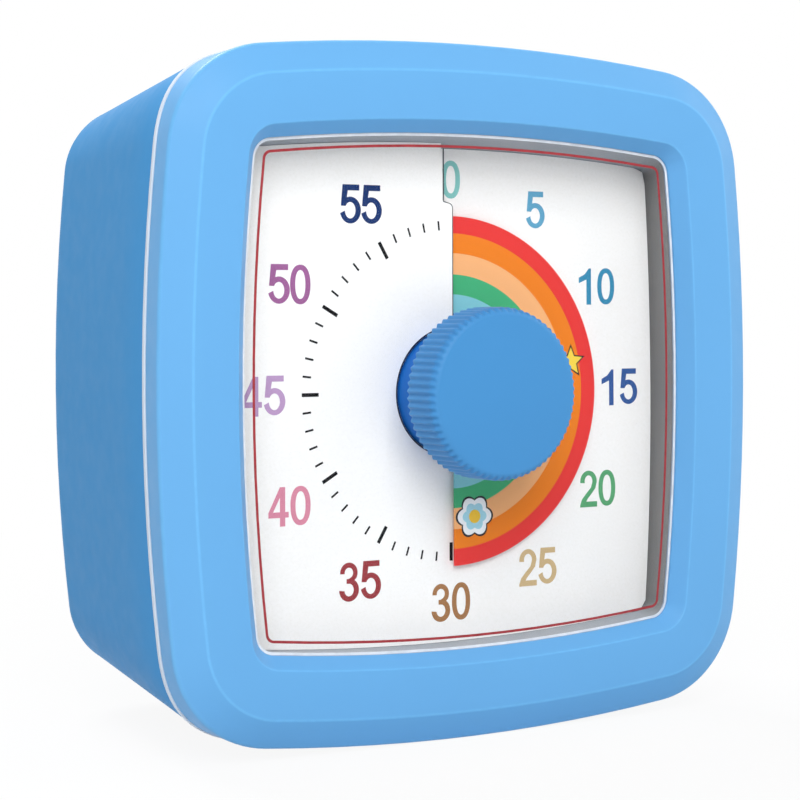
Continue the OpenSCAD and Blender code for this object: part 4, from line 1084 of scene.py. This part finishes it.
# --- Rear case ------------------------------------------------------------------------------
# Blue rear half of the case, drawn in towards the back with rounded edges. It holds the board,
# the battery bay, and the pockets of the door, the switch, the screws and the feet.
case_back = span("rear_case")[1][1]
case_wall = 1.8
rear_taper = 4.3
rear_rounding = 5.2
rear_inside = case_back - case_wall
rear_turn = case_back - rear_rounding
# Painted shade: this blue is darker than the bezel's so that the case's sides look shaded
case_blue = moulded("case_blue_moulding", "4792CC", 0.46, 0.006, wear_and_highlight=0.3, specular=0.04)


def side_inset(depth):
    """How far the tapered sides are drawn in at a depth."""
    return rim_inset + (rear_taper - rim_inset) * (depth - flange_far) / (case_back - flange_far)


def rear_corner(radius, extra, steps=9):
    """The rounding between the sides and the rear face, with neither rubbing nor painted highlight."""
    angles = [math.pi / 2 * k / steps for k in range(steps + 1)]
    return [(side_inset(rear_turn) + extra + radius * (1 - math.cos(a)), rear_turn + radius * math.sin(a), 0)
            for a in angles]


path = rear_corner(rear_rounding - case_wall, case_wall)[::-1]
path += [(rim_inset + case_wall, flange_far, 0), (rim_inset + 0.2, flange_far, 0.3),
         (rim_inset + 0.04, flange_far + 0.06, 0.8), (rim_inset, flange_far + 0.2, 0.3)]
path += [(side_inset(flange_far + behind), flange_far + behind, 0) for behind in (9, 18, 27)]
path += rear_corner(rear_rounding, 0)
rear_case = shell("rear", path, lambda inset, depth: rim_swell * max(0, (rear_turn - depth) / (rear_turn - flange_far)),
                  False)

door_low, door_high = span("battery_door")
door_width = door_high[0] - door_low[0] - 2.4
door_thickness = 1.6
door_gap = 0.15
door_bottom, door_top = door_low[2], door_high[2]
bay_size = (door_width - 4, 15.2)
bay_place = (0, -8)
bay_near = rear_inside - bay_size[1]
door_near = case_back - door_thickness
hinge_place = (case_back - door_thickness / 2, door_bottom + door_thickness / 2)
board_places = screw_kinds["board_screws"][0]
board_back = span("circuit_board")[1][1]
buzzer_low, buzzer_high = span("buzzer")
buzzer_place = ((buzzer_low[0] + buzzer_high[0]) / 2, (buzzer_low[2] + buzzer_high[2]) / 2)
buzzer_radius = (buzzer_high[0] - buzzer_low[0]) / 2
slider_low, slider_high = span("sound_slider")
switch_place = ((slider_low[0] + slider_high[0]) / 2, (slider_low[2] + slider_high[2]) / 2)
nib_size = (4.8, 3.2)
switch_travel = 4
slot_size = (nib_size[0] + switch_travel + 0.4, nib_size[1] + 0.4)
foot_low, foot_high = span("rubber_feet")
foot_radius = 3.5
foot_places = [(x, depth) for x in (foot_low[0] + foot_radius, foot_high[0] - foot_radius)
               for depth in (foot_low[1] + foot_radius, foot_high[1] - foot_radius)]


def square_flat(place, size, radius, steps=6):
    """The points of a rectangle with round corners in the front view."""
    w, h = size[0] / 2 - radius, size[1] / 2 - radius
    points = []
    for k, (sx, sz) in enumerate([(1, 1), (-1, 1), (-1, -1), (1, -1)]):
        for i in range(steps + 1):
            a = math.pi / 2 * (k + i / steps)
            points.append((place[0] + sx * w + radius * math.cos(a), place[1] + sz * h + radius * math.sin(a)))
    return points


def block(place, size, near, far, radius=0.6):
    """A block with round corners between two depths."""
    flat = square_flat(place, size, radius)
    return stack("block", [(near, flat), (far, flat)])


def mouth(place, size, radius, near, chamfer=0.3):
    """A pocket of the rear face whose edge is broken by a chamfer."""
    flat = square_flat(place, size, radius)
    wide = (size[0] + 2 * chamfer, size[1] + 2 * chamfer)
    wider = (wide[0] + 1, wide[1] + 1)
    return stack("mouth", [(near, flat), (case_back - chamfer, flat),
                           (case_back, square_flat(place, wide, radius + chamfer)),
                           (case_back + 0.5, square_flat(place, wider, radius + chamfer + 0.5))])


def drilled(place, radius, near, chamfer=0.2):
    """A round hole through the rear face with a chamfered edge."""
    return stack("hole", [(depth, round_flat(place, r)) for depth, r in [
        (near, radius), (case_back - chamfer, radius), (case_back, radius + chamfer),
        (case_back + 0.5, radius + chamfer + 0.5)]])


def upright(place, layers, steps=40):
    """A solid turned round an upright axis at (x, depth), from (radius, height) pairs."""
    return rings("upright", [[(x, depth, h) for x, depth in round_flat(place, r, steps)] for r, h in layers], False)


def lengthwise(place, layers, steps=24):
    """A solid turned round an axis across the case at (depth, height), from (x, radius) pairs."""
    return rings("lengthwise", [[(x, depth, h) for depth, h in round_flat(place, r, steps)] for x, r in layers], False)


def foot_seat(depth):
    """Height of a foot's seat: the tapered bottom rises towards the back."""
    rise = side_inset(depth) + side_radius - math.sqrt(side_radius ** 2 - foot_places[0][0] ** 2)
    return case_bottom + rise


case_bottom = -half_width
foot_pocket = 0.9
inside = rear_inside + 0.1
door_middle = (door_top + door_bottom) / 2
door_height = door_top - door_bottom
hinge_reach = door_width / 2 + 1.35
buzzer_wall = bar(buzzer_place, buzzer_radius + 1.35, buzzer_low[1] - 0.2, inside)
joined(buzzer_wall, [bar(buzzer_place, buzzer_radius + 0.15, buzzer_low[1] - 1, rear_inside + 1)], "DIFFERENCE")
joined(rear_case, [bar(p, 3.4, column_near, inside) for p in columns]
       + [block(bay_place, (bay_size[0] + 2.4, bay_size[1] + 2.4), bay_near - 1.2, inside),
          block(bay_place, (door_width + 4, door_height + 3), door_near - 1.4, inside)]
       + [bar(p, 2.2, board_back, inside) for p in board_places] + [buzzer_wall]
       + [block((switch_place[0], switch_place[1] + side * 3.7), (slot_size[0] + 7, 1), slider_low[1] + 1.2, inside,
                0.3) for side in (-1, 1)]
       + [upright(p, [(foot_radius + 1.2, foot_seat(p[1]) + foot_pocket), (foot_radius + 1.2, foot_seat(p[1]) + 3)])
          for p in foot_places], "UNION")
finger_place, finger_depth = (0, door_top + door_gap), 0.8
grille = [buzzer_place] + round_flat(buzzer_place, 4.2, 6)
joined(rear_case, [drilled(p, 2.5, 23) for p in columns] + [bar(p, 1.25, column_near - 1, 24) for p in columns]
       + [block(bay_place, bay_size, bay_near, case_back + 1, 1.0),
          mouth((0, door_middle), (door_width + 2 * door_gap, door_height + 2 * door_gap), 0.8, door_near, 0.25),
          lengthwise(hinge_place, [(-hinge_reach, 0.55), (hinge_reach, 0.55)]),
          stack("finger", [(depth, round_flat(finger_place, r)) for depth, r in [
              (case_back - finger_depth, 3.2), (case_back - finger_depth * 0.6, 3.7), (case_back - 0.12, 4.0),
              (case_back + 0.5, 4.6)]])]
       + [block((side * (bay_size[0] - 0.3) / 2, bay_place[1]), (0.4, 3.2), bay_near - 2, bay_near + 1, 0.05)
          for side in (-1, 1)]
       + [bar(p, 0.9, board_back - 1, board_back + 5) for p in board_places]
       + [drilled(p, 0.8, rear_inside - 1, 0.25) for p in grille]
       + [mouth(switch_place, slot_size, 0.5, rear_inside - 1)]
       + [upright(p, [(foot_radius + 0.05, case_bottom - 1), (foot_radius + 0.05, foot_seat(p[1]) + foot_pocket)])
          for p in foot_places], "DIFFERENCE")
finished(rear_case, "rear_case_shell", case_blue, "case", "case_blue", "rear_case")


# --- Battery and its contacts ---------------------------------------------------------------
# A round cell in its bay between a spring of plated wire and a flat plate. Both contacts are
# stamped from plated spring steel, and their tabs pass through the bay's floor to the leads.
battery_low, battery_high = span("battery")
battery_radius = (battery_high[2] - battery_low[2]) / 2
battery_axis = (battery_high[1] - battery_radius, battery_low[2] + battery_radius)
left, right = battery_low[0], battery_high[0]
cell = sealed(lengthwise(battery_axis, [
    (left, 0.01), (left, 4.6), (left + 0.25, 5.2), (left + 0.1, 6.4), (left + 0.35, battery_radius - 0.12),
    (left + 0.7, battery_radius), (right - 1.9, battery_radius), (right - 1.35, battery_radius - 0.25),
    (right - 1.1, battery_radius - 0.8), (right - 1.3, 5.4), (right - 1.05, 3.4), (right - 1.0, 2.7),
    (right - 0.25, 2.7), (right - 0.05, 2.5), (right, 2.2), (right, 0.01)], 64))
jacket = Finish("plain_jacket", 0.3, 0.35)
along = jacket.axis("X")
band = jacket.spread(along, 0, 1, (right - 14) * MM, (right - 13.98) * MM)
head = jacket.spread(along, 0, 1, (right - 1.6) * MM, (right - 1.55) * MM)
tail = jacket.spread(along, 1, 0, (left + 0.5) * MM, (left + 0.55) * MM)
jacket.surface(jacket.blend(jacket.math("MAXIMUM", head, tail), jacket.blend(band, linear("3C424C"), linear("B9854A")),
                            linear("C9CACC")),
               jacket.spread(jacket.noise(1.5, 3), 0.24, 0.36), jacket.noise(0.6, 2), 0.004)
finished(cell, "battery_cell", jacket.material, "case", "battery_jacket", "battery", crease=25)
painted("spring_contact", bright_metal("plated_spring", "CFD0D2", 0.24, (20, 1, 1)))
painted("flat_contact", bright_metal("plated_contact", "CFD0D2", 0.26, (1, 20, 1)))


# --- Battery door ---------------------------------------------------------------------------
# Flat lid over the bay, flush with the rear face. It turns on two pins at its lower edge and
# is lifted at three short grip grooves above. Moulded in the rear case's blue.
def door_section(x, shrink):
    """The door's section across the hinge: round at the hinge and eased at the top."""
    top_radius = 0.3
    points = []
    for depth, height, radius, start, sweep, steps in [
            (*hinge_place, door_thickness / 2, 180, 180, 12),
            (case_back - top_radius, door_top - top_radius, top_radius, 0, 90, 4),
            (case_back - door_thickness + top_radius, door_top - top_radius, top_radius, 90, 90, 4)]:
        for k in range(steps + 1):
            a = math.radians(start + sweep * k / steps)
            points.append((x, depth + (radius - shrink) * math.cos(a), height + (radius - shrink) * math.sin(a)))
    return points


half_door = door_width / 2
pin_reach = half_door + 1.2
door = rings("door", [door_section(x, s) for x, s in [
    (-half_door, 0.25), (-half_door + 0.07, 0.08), (-half_door + 0.25, 0), (half_door - 0.25, 0),
    (half_door - 0.07, 0.08), (half_door, 0.25)]], False)
joined(door, [lengthwise(hinge_place, [(-pin_reach, 0.5), (pin_reach, 0.5)]),
              block(bay_place, (18, 6), door_near - 0.2, door_near + 0.1)], "UNION")
groove_first = 3
groove_pitch = 1.4
grooves = []
for k in range(3):
    groove_place = (0, door_top - groove_first - groove_pitch * k)
    length = 14 - 3 * k
    grooves.append(stack("groove", [
        (case_back - 0.4, square_flat(groove_place, (length - 0.3, 0.34), 0.16)),
        (case_back - 0.2, square_flat(groove_place, (length, 0.62), 0.3)),
        (case_back + 0.4, square_flat(groove_place, (length + 0.5, 1.1), 0.5))]))
joined(door, grooves, "DIFFERENCE")
finished(door, "battery_door_lid", case_blue, "battery_door", "case_blue", "battery_door")


# --- Sound switch's slider ------------------------------------------------------------------
# Dark blue slider with a ribbed nib in the rear face. It runs between two rails inside and
# moves the lever of the switch on the board.
nib_back = slider_high[1]
slider_near = slider_low[1] + 1.4
slider = block(switch_place, (slider_high[0] - slider_low[0], 6), slider_near, slider_near + 1, 0.4)
nib = stack("nib", [(depth, square_flat(switch_place, (nib_size[0] - less, nib_size[1] - less), radius))
                    for depth, less, radius in [(slider_near, 0, 0.3), (nib_back - 0.25, 0, 0.3),
                                                (nib_back - 0.07, 0.15, 0.25), (nib_back, 0.5, 0.15)]])
joined(slider, [nib, block(switch_place, (1.8, 1.4), slider_low[1], slider_near + 0.1, 0.2)], "UNION")
rib_places = [(switch_place[0] + offset, switch_place[1]) for offset in (-1.4, -0.7, 0, 0.7, 1.4)]
joined(slider, [stack("rib", [(nib_back - 0.35, square_flat(p, (0.24, 2.1), 0.1)),
                              (nib_back + 0.2, square_flat(p, (0.62, 2.5), 0.2))]) for p in rib_places], "DIFFERENCE")
finished(slider, "sound_slider_nib", neck_plastic, "sound_slider", "neck_blue", "sound_slider")


# --- Rubber feet ----------------------------------------------------------------------------
# Four soft black feet pressed into pockets of the rear case's bottom, which rises towards the
# back, so that the ones behind stand out further.
rubber = Finish("soft_black_rubber", 0.78)
bloom = rubber.noise(1.6, 4)
rubber.surface(rubber.blend(rubber.spread(bloom, 0, 1), linear("25272B"), linear("3A3D42")),
               rubber.spread(bloom, 0.7, 0.86), rubber.noise(0.25, 3), 0.01)
pads = [upright(p, [
    (foot_radius - 0.9, case_bottom), (foot_radius - 0.35, case_bottom + 0.08), (foot_radius - 0.08, case_bottom + 0.3),
    (foot_radius, case_bottom + 0.6), (foot_radius, foot_seat(p[1]) + foot_pocket)], 48) for p in foot_places]
feet = joined(pads[0], pads[1:], "UNION")
finished(feet, "rubber_feet_pads", rubber.material, "case", "foot_rubber", "rubber_feet", crease=40)


# --- Studio ---------------------------------------------------------------------------------
# A pale floor before a white background: a soft key lamp in front at the left, one at the
# right, one above and behind, and a weak even fill. The camera stands at the left, a little
# over the middle.
def background_seen(tree):
    """One for the rays that show the backdrop: the camera's, and those of gloss and glass."""
    rays = tree.add("ShaderNodeLightPath").outputs
    share = rays["Is Camera Ray"]
    for ray in ("Is Glossy Ray", "Is Transmission Ray"):
        share = tree.math("MAXIMUM", share, rays[ray])
    return share


scene = bpy.context.scene
reach = 6.0
floor_mesh = bpy.data.meshes.new("floor")
floor_mesh.from_pydata([(-reach, -reach, 0), (reach, -reach, 0), (reach, reach, 0), (-reach, reach, 0)], [],
                       [(0, 1, 2, 3)])
floor = linked("floor", floor_mesh)
pale = Finish("pale_floor", 0.9)
pale.feed(pale.shader, Base_Color=(0.75, 0.75, 0.75, 1))
glow = pale.feed(pale.add("ShaderNodeEmission"), Strength=1.0)
away = pale.add("ShaderNodeVectorMath", pale.coords, operation="LENGTH").outputs["Value"]
fade = pale.feed(pale.add("ShaderNodeMapRange", interpolation_type="SMOOTHSTEP"), Value=away,
                 From_Min=0.06, From_Max=0.24, To_Min=0.92, To_Max=1.0)
mixed(pale, pale.math("MULTIPLY", background_seen(pale), fade.outputs["Result"]), pale.shader, glow,
      "Material Output")
floor_mesh.materials.append(pale.material)

world = bpy.data.worlds.new("studio")
scene.world = world
world.use_nodes = True
sky = Nodes(world.node_tree)
fill = sky.feed(sky.tree.nodes["Background"], Color=(1.0, 0.995, 0.985, 1), Strength=0.2)
backdrop = sky.feed(sky.add("ShaderNodeBackground"), Color=(1, 1, 1, 1), Strength=1.0)
mixed(sky, background_seen(sky), fill, backdrop, "World Output")


def soft_lamp(name, place, size, power):
    """A square lamp that faces the middle of the timer."""
    lamp = bpy.data.lights.new(name, "AREA")
    lamp.size = size
    lamp.energy = power
    holder = linked(name, lamp)
    holder.location = place
    holder.rotation_euler = (Vector((0, 0, axis_z)) - Vector(place)).to_track_quat("-Z", "Y").to_euler()


soft_lamp("key_lamp", (-0.24, -0.5, 0.43), 0.46, 3.9)
soft_lamp("right_lamp", (0.72, -0.22, 0.4), 0.6, 2.2)
soft_lamp("top_lamp", (-0.08, 0.48, 0.75), 0.4, 5.5)

view_yaw = 0.535
view_pitch = 0.040
view_roll = -0.004
camera_place = Vector((-135.75, -229.8, 51.66)) * MM
camera_data = bpy.data.cameras.new("camera")
camera_data.sensor_width = 36
camera_data.lens = 91.83
camera_data.clip_start = 0.01
forward = Vector((math.sin(view_yaw) * math.cos(view_pitch), math.cos(view_yaw) * math.cos(view_pitch),
                  -math.sin(view_pitch)))
right_way = forward.cross(Vector((0, 0, 1))).normalized()
up_way = right_way.cross(forward)
turned_right = right_way * math.cos(view_roll) + up_way * math.sin(view_roll)
turned_up = up_way * math.cos(view_roll) - right_way * math.sin(view_roll)
aim = Matrix((turned_right, turned_up, -forward)).transposed().to_4x4()
camera = linked("camera", camera_data)
camera.matrix_world = Matrix.Translation(camera_place) @ aim
scene.camera = camera
scene.view_settings.view_transform = "Standard"
